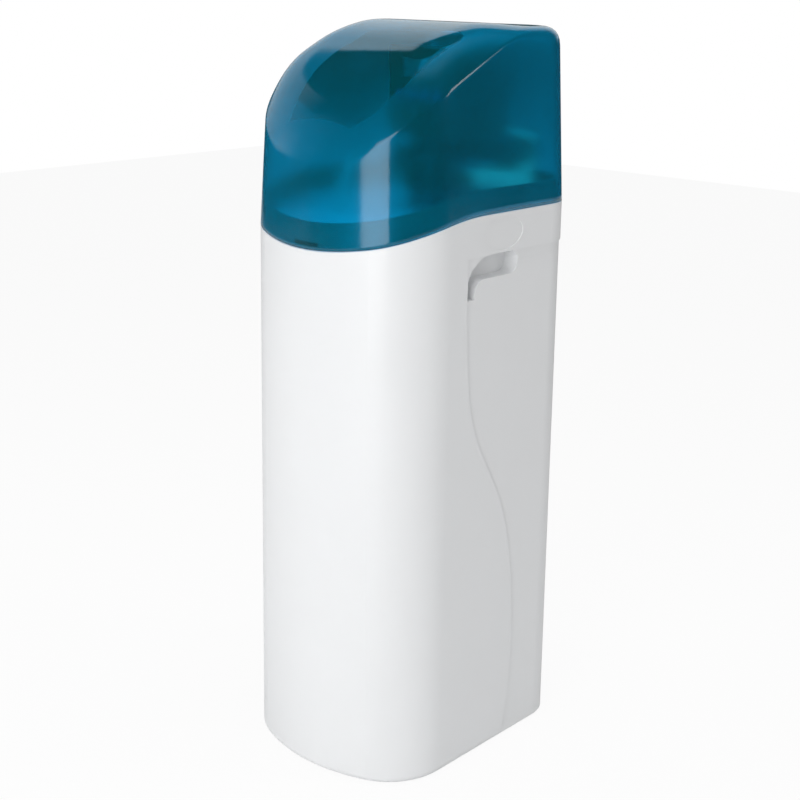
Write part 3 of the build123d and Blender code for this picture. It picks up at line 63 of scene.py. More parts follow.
class Value:
    """A number socket that takes part in Python expressions."""

    def __init__(self, shader: "Shader", socket: bpy.types.NodeSocket) -> None:
        """Wraps an output socket of a shader's tree."""
        self.shader = shader
        self.socket = socket

    def _math(self, operation: str, *others: "Value | float", flip: bool = False) -> "Value":
        """Adds a Math node.

        Args:
            operation: The node's operation.
            others: The further operands.
            flip: Whether this value is the second operand.

        Returns:
            The node's result.
        """
        operands = [self, *others]
        if flip:
            operands.reverse()
        node = self.shader.node("ShaderNodeMath", {"operation": operation}, dict(enumerate(operands)))
        return Value(self.shader, node.outputs[0])

    def __add__(self, other: "Value | float") -> "Value":
        """Sum."""
        return self._math("ADD", other)

    __radd__ = __add__

    def __sub__(self, other: "Value | float") -> "Value":
        """Difference."""
        return self._math("SUBTRACT", other)

    def __rsub__(self, other: float) -> "Value":
        """Difference from a plain number."""
        return self._math("SUBTRACT", other, flip=True)

    def __mul__(self, other: "Value | float") -> "Value":
        """Product."""
        return self._math("MULTIPLY", other)

    __rmul__ = __mul__

    def low(self, other: "Value | float") -> "Value":
        """The smaller of two values."""
        return self._math("MINIMUM", other)

    def high(self, other: "Value | float") -> "Value":
        """The larger of two values."""
        return self._math("MAXIMUM", other)

    def root(self) -> "Value":
        """Square root."""
        return self._math("SQRT")

    def wave(self) -> "Value":
        """Sine."""
        return self._math("SINE")

    def ramp(self, start: float, end: float) -> "Value":
        """Goes smoothly from 0 at start to 1 at end."""
        node = self.shader.node(
            "ShaderNodeMapRange",
            {"interpolation_type": "SMOOTHSTEP"},
            {"Value": self, "From Min": start, "From Max": end},
        )
        return Value(self.shader, node.outputs[0])


class Shader:
    """One material and the nodes in it."""

    def __init__(self, name: str) -> None:
        """Makes an empty material of that name."""
        self.material = bpy.data.materials.new(name)
        self.material.use_nodes = True
        self._take(self.material.node_tree)

    @classmethod
    def of_tree(cls, tree: bpy.types.NodeTree) -> "Shader":
        """Wraps the emptied tree of a world."""
        made = cls.__new__(cls)
        made._take(tree)
        return made

    def _take(self, tree: bpy.types.NodeTree) -> None:
        """Empties a tree and starts in it."""
        self.tree = tree
        self.tree.nodes.clear()
        self._place: bpy.types.NodeSocket | None = None
        self._path: bpy.types.Node | None = None

    def node(
        self,
        kind: str,
        settings: Mapping[str, object] | None = None,
        inputs: Mapping[object, object] | None = None,
    ) -> bpy.types.Node:
        """Adds a node.

        Args:
            kind: Its type.
            settings: Its own settings, set first.
            inputs: Values or links, by socket name or number.

        Returns:
            The new node.
        """
        made = self.tree.nodes.new(kind)
        for key, value in (settings or {}).items():
            setattr(made, key, value)
        for key, value in (inputs or {}).items():
            socket = made.inputs[key]
            if isinstance(value, Value):
                self.tree.links.new(value.socket, socket)
            elif isinstance(value, bpy.types.NodeSocket):
                self.tree.links.new(value, socket)
            elif isinstance(value, tuple) and len(value) == 3 and socket.type == "RGBA":
                socket.default_value = (*value, 1.0)
            else:
                socket.default_value = value
        return made

    def place(self) -> bpy.types.NodeSocket:
        """Object coordinates."""
        if self._place is None:
            self._place = self.node("ShaderNodeTexCoord").outputs["Object"]
        return self._place

    def axes(self) -> tuple[Value, Value, Value]:
        """Object coordinates as three values in metres."""
        split = self.node("ShaderNodeSeparateXYZ", None, {0: self.place()})
        return Value(self, split.outputs[0]), Value(self, split.outputs[1]), Value(self, split.outputs[2])

    def noise(self, scale: float, detail: float = 2.0, stretch: Point = (1.0, 1.0, 1.0)) -> Value:
        """Noise in object space.

        Args:
            scale: Features in a metre.
            detail: Octaves.
            stretch: Scale along each axis.

        Returns:
            A value from 0 to 1.
        """
        spot = self.node("ShaderNodeMapping", None, {"Vector": self.place(), "Scale": stretch})
        made = self.node(
            "ShaderNodeTexNoise", None, {"Vector": spot.outputs[0], "Scale": scale, "Detail": detail}
        )
        return Value(self, made.outputs[0])

    def blend(self, share: "Value | float", first: object, second: object) -> bpy.types.NodeSocket:
        """Mix of two colours by a share."""
        made = self.node("ShaderNodeMix", {"data_type": "RGBA"}, {0: share, 6: first, 7: second})
        return made.outputs[2]

    def bump(self, height: Value, depth: float) -> bpy.types.NodeSocket:
        """Normal of a height map.

        Args:
            height: From 0 to 1.
            depth: Height of 1 in metres.

        Returns:
            The normal's socket.
        """
        made = self.node("ShaderNodeBump", None, {"Strength": 1.0, "Distance": depth, "Height": height})
        return made.outputs[0]

    def ray(self, kind: str) -> Value:
        """One on rays of a kind, such as Shadow, and nought on others."""
        if self._path is None:
            self._path = self.node("ShaderNodeLightPath")
        return Value(self, self._path.outputs[f"Is {kind} Ray"])

    def either(self, share: "Value | float", first: bpy.types.Node, second: bpy.types.Node) -> bpy.types.Node:
        """Mix of two surfaces by a share."""
        return self.node("ShaderNodeMixShader", None, {0: share, 1: first.outputs[0], 2: second.outputs[0]})

    def end(self, surface: bpy.types.Node) -> bpy.types.Material:
        """Ends the material in a surface."""
        self.node("ShaderNodeOutputMaterial", None, {"Surface": surface.outputs[0]})
        return self.material

    def close(self, inputs: Mapping[object, object]) -> bpy.types.Material:
        """Ends the material in one Principled shader.

        Args:
            inputs: Its values and links.

        Returns:
            The material.
        """
        return self.end(self.node("ShaderNodeBsdfPrincipled", None, inputs))


# Finishes


@dataclass(frozen=True)
class Moulded:
    """Moulded plastic: fine grain, faint flow marks and a slightly uneven gloss."""

    name: str
    colour: Rgb
    roughness: float = 0.42
    grain_depth: float = 0.00003
    grain_scale: float = 1800.0
    coat: float = 0.0
    tone: float = 0.05
    coat_roughness: float = 0.12
    cloud_scale: float = 9.0
    cloud_edges: tuple[float, float] = (0.3, 0.7)
    cloud_gloss: float = 0.08
    grain_gloss: float = 0.06
    gloss_middle: float = 0.03

    def darker(self) -> Rgb:
        """Colour in the flow marks."""
        return tuple(c * (1 - self.tone) for c in self.colour)

    def tint(self, shader: Shader, cloud: Value) -> bpy.types.NodeSocket:
        """Colour over the surface.

        Args:
            shader: The material it is built in.
            cloud: Its flow marks, from 0 to 1.

        Returns:
            The colour's socket.
        """
        lighter = tuple(min(1.0, c * (1 + self.tone)) for c in self.colour)
        return shader.blend(cloud.ramp(*self.cloud_edges), self.darker(), lighter)

    def make(self) -> bpy.types.Material:
        """Builds the material."""
        shader = Shader(self.name)
        cloud = shader.noise(self.cloud_scale, 3.0)
        grain = shader.noise(self.grain_scale, 1.0)
        uneven = (cloud - 0.5) * self.cloud_gloss + grain * self.grain_gloss
        return shader.close(
            {
                "Base Color": self.tint(shader, cloud),
                "Roughness": uneven + (self.roughness - self.gloss_middle),
                "Coat Weight": self.coat,
                "Coat Roughness": self.coat_roughness,
                "Normal": shader.bump(grain, self.grain_depth),
            }
        )


@dataclass(frozen=True)
class Body(Moulded):
    """White cabinet plastic, with painted shade above the line where the cover meets it: there the collar
    inside the cover is coloured a dark grey-green for the shade that falls on it.
    """

    cloud_gloss: float = 0.06
    grain_gloss: float = 0.05
    gloss_middle: float = 0.02
    # Painted shade: colour of the collar inside the cover, darker for the shade that falls there.
    band: Rgb = (0.13, 0.17, 0.15)
    level: float = 0.846
    radius: float = 0.450
    level_y: float = -0.010
    shade_start: float = 0.0004
    shade_full: float = 0.0009

    def tint(self, shader: Shader, cloud: Value) -> bpy.types.NodeSocket:
        """White with flow marks, and above the line the dark grey-green of the painted shade on the collar.

        Args:
            shader: The material it is built in.
            cloud: Its flow marks, from 0 to 1.

        Returns:
            The colour's socket.
        """
        _, y, z = shader.axes()
        reach = (self.level_y - y).high(0.0)
        line = (self.radius**2 - reach * reach).root() + (self.level - self.radius)
        # Painted shade on the collar, above the line where the cover meets the cabinet.
        above = (z - line).ramp(self.shade_start, self.shade_full)
        white = shader.blend(cloud.ramp(*self.cloud_edges), self.darker(), self.colour)
        return shader.blend(above, white, self.band)


@dataclass(frozen=True)
class Metal:
    """Rolled or plated steel with a faint brushed direction."""

    name: str
    colour: Rgb
    roughness: float = 0.32
    brushed: Point = (1.0, 1.0, 14.0)
    brush_scale: float = 420.0
    brush_depth: float = 0.00002
    spot_scale: float = 60.0
    spot_edges: tuple[float, float] = (0.35, 0.75)
    dullness: float = 0.82

    def make(self) -> bpy.types.Material:
        """Builds the material."""
        shader = Shader(self.name)
        brush = shader.noise(self.brush_scale, 2.0, self.brushed)
        spots = shader.noise(self.spot_scale, 3.0)
        dull = tuple(c * self.dullness for c in self.colour)
        return shader.close(
            {
                "Base Color": shader.blend(spots.ramp(*self.spot_edges), self.colour, dull),
                "Metallic": 1.0,
                "Roughness": brush * 0.12 + spots * 0.1 + (self.roughness - 0.1),
                "Normal": shader.bump(brush, self.brush_depth),
            }
        )


@dataclass(frozen=True)
class Wound:
    """Vessel shell: crossed windings under resin."""

    name: str
    colour: Rgb
    pitch: float = 900.0
    starts: float = 40.0
    axis_y: float = 0.070
    cloud_scale: float = 14.0
    paleness: float = 1.6
    roughness: float = 0.34
    coat: float = 0.4
    coat_roughness: float = 0.15
    weave_depth: float = 0.00025

    def make(self) -> bpy.types.Material:
        """Builds the material."""
        shader = Shader(self.name)
        x, y, z = shader.axes()
        turn = shader.node("ShaderNodeMath", {"operation": "ARCTAN2"}, {0: y - self.axis_y, 1: x})
        angle = Value(shader, turn.outputs[0])
        left = ((z * self.pitch + angle * self.starts).wave() + 1) * 0.5
        right = ((z * self.pitch - angle * self.starts).wave() + 1) * 0.5
        weave = left.high(right)
        cloud = shader.noise(self.cloud_scale, 3.0)
        pale = tuple(min(1.0, c * self.paleness + 0.02) for c in self.colour)
        return shader.close(
            {
                "Base Color": shader.blend(weave * 0.5 + cloud * 0.3, self.colour, pale),
                "Roughness": self.roughness - weave * 0.1,
                "Coat Weight": self.coat,
                "Coat Roughness": self.coat_roughness,
                "Normal": shader.bump(weave, self.weave_depth),
            }
        )


@dataclass(frozen=True)
class Beads:
    """Wet ion exchange beads, with painted shade towards each bead's rim and in the gaps between them."""

    name: str
    colour: Rgb
    beads: float = 900.0
    tone_scale: float = 700.0
    # Share of the colour left in the painted shade between beads.
    painted_gap_shade: float = 0.35
    roughness: float = 0.22
    bead_depth: float = 0.0004

    def make(self) -> bpy.types.Material:
        """Builds the material."""
        shader = Shader(self.name)
        cells = shader.node(
            "ShaderNodeTexVoronoi", None, {"Vector": shader.place(), "Scale": self.beads}
        )
        near = Value(shader, cells.outputs["Distance"])
        tone = shader.noise(self.tone_scale, 1.0)
        # Painted shade: each bead goes darker away from its middle, towards the gaps between beads.
        dark = tuple(c * self.painted_gap_shade for c in self.colour)
        return shader.close(
            {
                "Base Color": shader.blend(near.ramp(0.1, 0.7) * 0.7 + tone * 0.3, self.colour, dark),
                "Roughness": self.roughness + near * 0.2,
                "Normal": shader.bump(1 - near, self.bead_depth),
            }
        )


@dataclass(frozen=True)
class Board:
    """Circuit board: solder mask over copper runs."""

    name: str
    colour: Rgb
    runs_across: float = 1400.0
    runs_up: float = 1100.0
    patch_scale: float = 70.0
    roughness: float = 0.3
    coat: float = 0.3
    run_depth: float = 0.00004

    def make(self) -> bpy.types.Material:
        """Builds the material."""
        shader = Shader(self.name)
        x, _, z = shader.axes()
        across = (x * self.runs_across).wave().ramp(0.55, 0.7)
        runs = (across + (z * self.runs_up).wave().ramp(0.75, 0.85)).low(1.0)
        patch = shader.noise(self.patch_scale, 1.0).ramp(0.45, 0.5)
        copper = tuple(min(1.0, c * 1.5 + 0.03) for c in self.colour)
        lines = runs * patch
        return shader.close(
            {
                "Base Color": shader.blend(lines, self.colour, copper),
                "Roughness": self.roughness + lines * 0.08,
                "Coat Weight": self.coat,
                "Normal": shader.bump(lines, self.run_depth),
            }
        )


@dataclass(frozen=True)
class Window:
    """Outline of the polished patch on the cover's top, as corners in plan, clockwise from above."""

    corners: tuple[tuple[float, float], ...] = (
        (-0.038, -0.029),
        (0.106, -0.012),
        (0.117, -0.015),
        (0.122, -0.026),
        (0.121, -0.100),
        (0.112, -0.131),
        (0.090, -0.160),
        (0.060, -0.176),
        (-0.057, -0.176),
        (-0.051, -0.105),
    )
    soft: float = 0.0012
    lowest: float = 0.95
    edge: float = 0.001

    def mask(self, shader: Shader) -> Value:
        """One inside the patch and nought outside.

        Args:
            shader: The tree it is built in.

        Returns:
            The mask.
        """
        x, y, z = shader.axes()
        inside: Value | None = None
        for (x0, y0), (x1, y1) in zip(self.corners, self.corners[1:] + self.corners[:1]):
            length = math.hypot(x1 - x0, y1 - y0)
            across = ((x - x0) * (y1 - y0) - (y - y0) * (x1 - x0)) * (1 / length)
            inside = across if inside is None else inside.low(across)
        return inside.ramp(-self.soft, self.soft) * z.ramp(self.lowest, self.lowest + self.edge)


class Side(Enum):
    """The two faces of the cover's wall."""

    OUTER = "outer"
    INNER = "inner"


@dataclass(frozen=True)
class ClearBlue:
    """Translucent blue: satin outside, textured inside, and polished on both sides at the window.

    Shadow and diffuse rays pass it unbent, tinted by the root of its colour, so that light reaches the inside.
    """

    side: Side
    colour: Rgb
    satin: float
    polished: float = 0.02
    haze: Rgb = (0.001, 0.52, 0.40)
    haze_share: float = 0.04
    refraction: float = 1.46
    depth_share: float = 0.86
    cloud_scale: float = 6.0
    cloud_edges: tuple[float, float] = (0.3, 0.7)
    cloud_gloss: float = 0.05
    grain_scale: float = 1500.0
    grain_depth: float = 0.000015

    def make(self) -> bpy.types.Material:
        """Builds the material."""
        shader = Shader(f"clear_blue_{self.side.value}")
        window = Window().mask(shader)
        cloud = shader.noise(self.cloud_scale, 2.0)
        grain = shader.noise(self.grain_scale, 1.0)
        uneven = cloud * self.cloud_gloss + (self.satin - self.polished)
        rough = (1 - window) * uneven + self.polished
        deep = tuple(c * self.depth_share for c in self.colour)
        surface = shader.node(
            "ShaderNodeBsdfPrincipled",
            None,
            {
                "Base Color": shader.blend(cloud.ramp(*self.cloud_edges), deep, self.colour),
                "Roughness": rough,
                "Transmission Weight": 1.0,
                "IOR": self.refraction,
                "Normal": shader.bump(grain * (1 - window), self.grain_depth),
            },
        )
        dull = shader.node("ShaderNodeBsdfDiffuse", None, {"Color": self.haze})
        glass = shader.either(self.haze_share, surface, dull)
        passed = tuple(math.sqrt(c) for c in self.colour)
        clear = shader.node("ShaderNodeBsdfTransparent", None, {"Color": passed})
        return shader.end(shader.either(shader.ray("Shadow").high(shader.ray("Diffuse")), glass, clear))


@dataclass(frozen=True)
class Pane:
    """Clear window of the display."""

    name: str
    colour: Rgb
    clearness: float = 0.95
    refraction: float = 1.49
    cloud_scale: float = 30.0
    roughness: float = 0.02

    def make(self) -> bpy.types.Material:
        """Builds the material."""
        shader = Shader(self.name)
        cloud = shader.noise(self.cloud_scale, 2.0)
        return shader.close(
            {
                "Base Color": self.colour,
                "Roughness": cloud * 0.03 + self.roughness,
                "Transmission Weight": self.clearness,
                "IOR": self.refraction,
            }
        )


FINISHES: dict[str, Moulded | Metal | Wound | Beads | Board | Pane] = {
    "white_plastic": Body("white_plastic", (0.80, 0.81, 0.82), 0.36, 0.000012, 900.0, 0.1, 0.01),
    "dark_plastic": Moulded("dark_plastic", (0.042, 0.037, 0.028), 0.5, 0.00004),
    "grey_plastic": Moulded("grey_plastic", (0.15, 0.16, 0.17), 0.45),
    "pale_plastic": Moulded("pale_plastic", (0.78, 0.79, 0.79), 0.4, 0.00003, 1200.0, 0.0, 0.02),
    "valve_plastic": Moulded("valve_plastic", (0.022, 0.022, 0.024), 0.48, 0.00005, 1300.0),
    "acetal": Moulded("acetal", (0.70, 0.69, 0.64), 0.3, 0.00001),
    "foam": Moulded("foam", (0.70, 0.69, 0.64), 0.8, 0.0002, 700.0),
    "rubber": Moulded("rubber", (0.012, 0.012, 0.012), 0.7, 0.00005),
    "ceramic": Moulded("ceramic", (0.74, 0.72, 0.66), 0.12, 0.000004),
    "blue_button": Moulded("blue_button", (0.05, 0.14, 0.33), 0.55, 0.00004),
    "steel": Metal("steel", (0.56, 0.57, 0.58)),
    "motor_steel": Metal("motor_steel", (0.50, 0.51, 0.52), 0.38, (1.0, 1.0, 2.0)),
    "vessel_shell": Wound("vessel_shell", (0.022, 0.034, 0.052)),
    "resin_beads": Beads("resin_beads", (0.30, 0.11, 0.012)),
    "board": Board("board", (0.008, 0.055, 0.022)),
    "clear_plastic": Pane("clear_plastic", (0.9, 0.93, 0.95)),
}


# Mesh tools


def mesh_object(
    name: str, points: Sequence[Point], faces: Iterable[Sequence[int]], smooth: bool = True
) -> bpy.types.Object:
    """Makes an object from points in millimetres.

    Args:
        name: The piece's name.
        points: Its vertices in millimetres.
        faces: Its faces as vertex numbers.
        smooth: Whether its faces shade smoothly.

    Returns:
        The linked object at the origin.
    """
    mesh = bpy.data.meshes.new(name)
    mesh.from_pydata([tuple(c * MM for c in p) for p in points], [], list(faces))
    mesh.validate()
    for polygon in mesh.polygons:
        polygon.use_smooth = smooth
    made = bpy.data.objects.new(name, mesh)
    bpy.context.scene.collection.objects.link(made)
    return made


def edit(piece: bpy.types.Object, work: Callable[[bmesh.types.BMesh], None]) -> None:
    """Runs mesh work on a piece.

    Args:
        piece: The object to change.
        work: Takes its bmesh.
    """
    mesh = bmesh.new()
    mesh.from_mesh(piece.data)
    work(mesh)
    mesh.to_mesh(piece.data)
    mesh.free()


def apply_modifiers(piece: bpy.types.Object) -> None:
    """Turns a piece's modifiers into its plain mesh."""
    graph = bpy.context.evaluated_depsgraph_get()
    done = bpy.data.meshes.new_from_object(piece.evaluated_get(graph))
    piece.modifiers.clear()
    piece.data = done


def smoothstep(share: float) -> float:
    """Smooth step of a share that is held between nought and one."""
    share = min(1.0, max(0.0, share))
    return share * share * (3 - 2 * share)


# Cabinet and cover outlines, in millimetres


@dataclass(frozen=True)
class Outline:
    """Sizes of the plan outline and of the line where cabinet and cover meet."""

    width: float = 340.0
    depth: float = 420.0
    height: float = 1100.5
    front_bow: float = 60.0
    front_corner: float = 105.0
    rear_corner: float = 62.0
    side_taper: float = 0.31
    front_taper: float = 0.15
    cover_draft: float = 2.6
    cover_rear_draft: float = 1.8
    parting_rear: float = 846.0
    parting_radius: float = 450.0
    parting_level_y: float = -10.0

    def body(self, z: float) -> tuple[float, float, float]:
        """Half width, front and rear of the cabinet at a height."""
        half = self.width / 2 - z * math.tan(math.radians(self.side_taper))
        front = -self.depth / 2 + z * math.tan(math.radians(self.front_taper))
        return half, front, self.depth / 2

    def parting(self, y: float) -> float:
        """Height of the line where the cover meets the cabinet."""
        if y >= self.parting_level_y:
            return self.parting_rear
        reach = self.parting_level_y - y
        return self.parting_rear - self.parting_radius + math.sqrt(self.parting_radius**2 - reach**2)

    def cover(self, z: float) -> tuple[float, float, float]:
        """Half width, front and rear of the cover at a height."""
        half, _, rear = self.body(self.parting_rear)
        low = self.parting(-self.depth / 2)
        _, front, _ = self.body(low)
        rise = z - self.parting_rear
        slope = math.tan(math.radians(self.cover_draft))
        return (
            half - rise * slope,
            front + (z - low) * slope,
            rear - rise * math.tan(math.radians(self.cover_rear_draft)),
        )

    def arcs(self, half: float, front: float) -> tuple[float, float, float, float, float]:
        """Bow radius and centre, corner centre, and the angle where they meet."""
        bow = (half**2 + self.front_bow**2) / (2 * self.front_bow)
        bow_y = front + bow
        corner_x = half - self.front_corner
        corner_y = bow_y - math.sqrt((bow - self.front_corner) ** 2 - corner_x**2)
        return bow, bow_y, corner_x, corner_y, math.atan2(corner_y - bow_y, corner_x)

    def columns(self, counts: "Counts") -> list[tuple[str, float]]:
        """Places round the right half of the outline, from front to rear."""
        spots = [("bow", i / counts.bow) for i in range(counts.bow)]
        spots += [("corner", i / counts.corner) for i in range(counts.corner)]
        spots += [("side", i / counts.side) for i in range(counts.side)]
        spots += [("rear_corner", i / counts.rear_corner) for i in range(counts.rear_corner)]
        spots += [("rear", i / counts.rear) for i in range(counts.rear)]
        spots += [("gate", i / counts.gate) for i in range(counts.gate + 1)]
        return spots

    def spot(
        self, plan: tuple[float, float, float], column: tuple[str, float], gate: float
    ) -> tuple[float, float]:
        """Point of the outline.

        Args:
            plan: Half width, front and rear.
            column: Stretch of the outline and the share along it.
            gate: Half width of the gap for the pipes.

        Returns:
            Its x and y on the right side.
        """
        half, front, rear = plan
        bow, bow_y, corner_x, corner_y, turn = self.arcs(half, front)
        stretch, share = column
        if stretch == "bow":
            angle = -math.pi / 2 + (turn + math.pi / 2) * share
            return bow * math.cos(angle), bow_y + bow * math.sin(angle)
        if stretch == "corner":
            angle = turn * (1 - share)
            return (
                corner_x + self.front_corner * math.cos(angle),
                corner_y + self.front_corner * math.sin(angle),
            )
        if stretch == "side":
            return half, corner_y + (rear - self.rear_corner - corner_y) * share
        if stretch == "rear_corner":
            angle = math.pi / 2 * share
            return (
                half - self.rear_corner * (1 - math.cos(angle)),
                rear - self.rear_corner * (1 - math.sin(angle)),
            )
        if stretch == "rear":
            return half - self.rear_corner + (gate - half + self.rear_corner) * share, rear
        return gate * (1 - share), rear


@dataclass(frozen=True)
class Counts:
    """Columns on each stretch of the outline."""

    bow: int = 16
    corner: int = 26
    side: int = 30
    rear_corner: int = 14
    rear: int = 4
    gate: int = 10


@dataclass
class CoverShell:
    """Translucent cover: walls, crest, swelling top, pipe gap and hinge knuckles."""

    outline: Outline = field(default_factory=Outline)
    counts: Counts = field(default_factory=Counts)
    wall: float = 3.0
    seam_gap: float = 0.5
    rim_level_y: float = 148.0
    rim_rear_radius: float = 300.0
    rim_slope: float = 25.5
    rim_bend_y: float = -80.0
    rim_front_radius: float = 306.0
    visor: float = 935.0
    swell: float = 47.0
    swell_full_y: float = -60.0
    shoulder: float = 75.0
    rear_round: float = 25.0
    gate_half: float = 80.0
    weld_gap: float = 0.05
    gate_top: float = 935.0
    crest_side: float = 2.5
    crest_front: float = 14.0
    crest_front_y: float = -168.0
    crest_front_fade: float = 34.0
    crest_rear_y: float = 30.0
    crest_rear_fade: float = 130.0
    middle_front_y: float = -118.0
    middle_length: float = 246.0
    top_crowding: float = 1.7
    crease_steps: int = 12
    wall_rows: int = 26
    crest_rows: int = 6
    top_rows: int = 30
    hinge_y: float = 217.0
    hinge_z: float = 852.0
    hinge_radius: float = 6.0
    hinge_bore: float = 2.55
    hinge_web: float = 18.0
    hinge_slack: float = 1e-6
    hinge_parallel: float = 1e-9
    knuckle_start: float = 88.4
    knuckle: float = 11.6
    knuckle_points: int = 48
    outer_blue: Rgb = (0.001, 0.38, 0.78)
    outer_satin: float = 0.08
    inner_blue: Rgb = (0.12, 0.93, 0.98)
    inner_satin: float = 0.27

    def rim(self, y: float) -> float:
        """Height of the crease at a depth."""
        o = self.outline
        slope = math.radians(self.rim_slope)
        if y >= self.rim_level_y:
            return o.height
        knee_y = self.rim_level_y - self.rim_rear_radius * math.sin(slope)
        if y >= knee_y:
            drop = math.sqrt(self.rim_rear_radius**2 - (self.rim_level_y - y) ** 2)
            return o.height - self.rim_rear_radius + drop
        knee_z = o.height - self.rim_rear_radius * (1 - math.cos(slope))
        if y >= self.rim_bend_y:
            return knee_z - (knee_y - y) * math.tan(slope)
        bend_z = knee_z - (knee_y - self.rim_bend_y) * math.tan(slope)
        centre_y = self.rim_bend_y + self.rim_front_radius * math.sin(slope)
        centre_z = bend_z - self.rim_front_radius * math.cos(slope)
        return max(self.visor, centre_z + math.sqrt(self.rim_front_radius**2 - (centre_y - y) ** 2))

    def inset(self, x: float, y: float) -> float:
        """Distance from the cover's edge inwards."""
        o = self.outline
        half, front, _ = o.cover(self.rim(y))
        bow, bow_y, corner_x, corner_y, turn = o.arcs(half, front)
        across = abs(x)
        if y >= corner_y:
            return half - across
        if math.atan2(y - bow_y, across) < turn:
            return bow - math.hypot(across, y - bow_y)
        return o.front_corner - math.hypot(across - corner_x, y - corner_y)

    def top(self, x: float, y: float) -> float:
        """Height of the top."""
        swell = self.swell * smoothstep((self.rim_level_y - y) / (self.rim_level_y - self.swell_full_y))
        near = max(0.0, 1 - self.inset(x, y) / self.shoulder)
        lift = 1 - near**3 if near < 1 else 3 * (1 - near)
        return self.rim(y) + swell * lift

    def crease(self, column: tuple[str, float]) -> Point:
        """Point where the wall of a column meets the top."""
        z = self.outline.height
        for _ in range(self.crease_steps):
            x, y = self.outline.spot(self.outline.cover(z), column, self.gate_half)
            z = 0.5 * (z + self.rim(y))
        return x, y, self.rim(y)

    def column_points(self, column: tuple[str, float], share: float) -> list[Point]:
        """Points of one column, from the bottom edge over the crest to the middle line.

        Args:
            column: Stretch and share along it.
            share: Share of the way from front to rear, for the column's end on the middle line.

        Returns:
            The points.
        """
        o = self.outline
        crest = self.crease(column)
        front = smoothstep((self.crest_front_y - crest[1]) / self.crest_front_fade)
        rear = smoothstep((crest[1] - self.crest_rear_y) / self.crest_rear_fade)
        radius = self.crest_side + (self.crest_front - self.crest_side) * front + self.rear_round * rear
        _, foot_y = o.spot(o.cover(o.parting_rear), column, self.gate_half)
        low = o.parting(foot_y) + self.seam_gap
        high = crest[2] - radius
        rows = []
        for row in range(self.wall_rows + 1):
            z = low + (high - low) * row / self.wall_rows
            x, y = o.spot(o.cover(z), column, self.gate_half)
            rows.append((x, y, z))
        end = (0.0, self.middle_front_y + self.middle_length * share)
        span = math.hypot(end[0] - crest[0], end[1] - crest[1])
        start = radius / span
        first = self.across(crest, end, start)
        for step in range(1, self.crest_rows + 1):
            t = step / self.crest_rows
            rows.append(
                tuple(
                    (1 - t) ** 2 * a + 2 * t * (1 - t) * b + t * t * c
                    for a, b, c in zip(rows[self.wall_rows], crest, first)
                )
            )
        for step in range(1, self.top_rows + 1):
            t = start + (1 - start) * (step / self.top_rows) ** self.top_crowding
            rows.append(self.across(crest, end, t))
        return rows

    def across(self, crest: Point, end: tuple[float, float], t: float) -> Point:
        """Point of the top a share of the way from the crest to the middle line."""
        x = crest[0] + (end[0] - crest[0]) * t
        y = crest[1] + (end[1] - crest[1]) * t
        return x, y, self.top(x, y)

    def build(self) -> bpy.types.Object:
        """Makes the shell and its knuckles and dresses them."""
        columns = self.outline.columns(self.counts)
        reach = [0.0]
        spots = [self.crease(c) for c in columns]
        for a, b in zip(spots, spots[1:]):
            reach.append(reach[-1] + math.dist(a[:2], b[:2]))
        right = [self.column_points(c, r / reach[-1]) for c, r in zip(columns, reach)]
        left = [[(-x, y, z) for x, y, z in rows] for rows in reversed(right[1:-1])]
        ring = right + left
        gate_first = len(columns) - 1 - self.counts.gate
        gate_last = len(columns) - 1 + self.counts.gate
        per = len(right[0])
        points = [p for rows in ring for p in rows]
        gate_row = self.gate_row(ring, gate_first, gate_last, points, per)
        faces = []
        for i in range(len(ring)):
            j = (i + 1) % len(ring)
            in_gate = gate_first <= i < gate_last
            for k in range(per - 1):
                if in_gate and k < gate_row:
                    continue
                faces.append((i * per + k, j * per + k, j * per + k + 1, i * per + k + 1))
        shell = mesh_object("cover_shell", points, faces)
        shell.data.materials.append(ClearBlue(Side.OUTER, self.outer_blue, self.outer_satin).make())
        shell.data.materials.append(ClearBlue(Side.INNER, self.inner_blue, self.inner_satin).make())
        edit(shell, self.weld)
        thick = shell.modifiers.new("wall", "SOLIDIFY")
        thick.thickness = self.wall * MM
        thick.offset = -1
        thick.use_even_offset = True
        thick.material_offset = 1
        apply_modifiers(shell)
        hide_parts("cover")
        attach(shell, "cover")
        LOG.info("cover shell: %d faces", len(shell.data.polygons))
        self.knuckles(shell.data.materials[0])
        return shell

    def reach(self, angle: float) -> float:
        """Distance from the hinge axis to the knuckle's outline at an angle."""
        radius = self.hinge_radius
        back = self.outline.depth / 2 - self.wall / 2 - self.hinge_y
        web = [
            (back, -radius / 2),
            (back, self.hinge_web),
            (radius / math.sqrt(2), radius / math.sqrt(2)),
        ]
        far = radius
        across, up = math.cos(angle), math.sin(angle)
        for (y0, z0), (y1, z1) in zip(web, web[1:]):
            slant = (y1 - y0) * up - (z1 - z0) * across
            if abs(slant) < self.hinge_parallel:
                continue
            share = (y0 * up - z0 * across) / -slant
            there = (y0 + (y1 - y0) * share) * across + (z0 + (z1 - z0) * share) * up
            if -self.hinge_slack <= share <= 1 + self.hinge_slack:
                far = max(far, there)
        return far

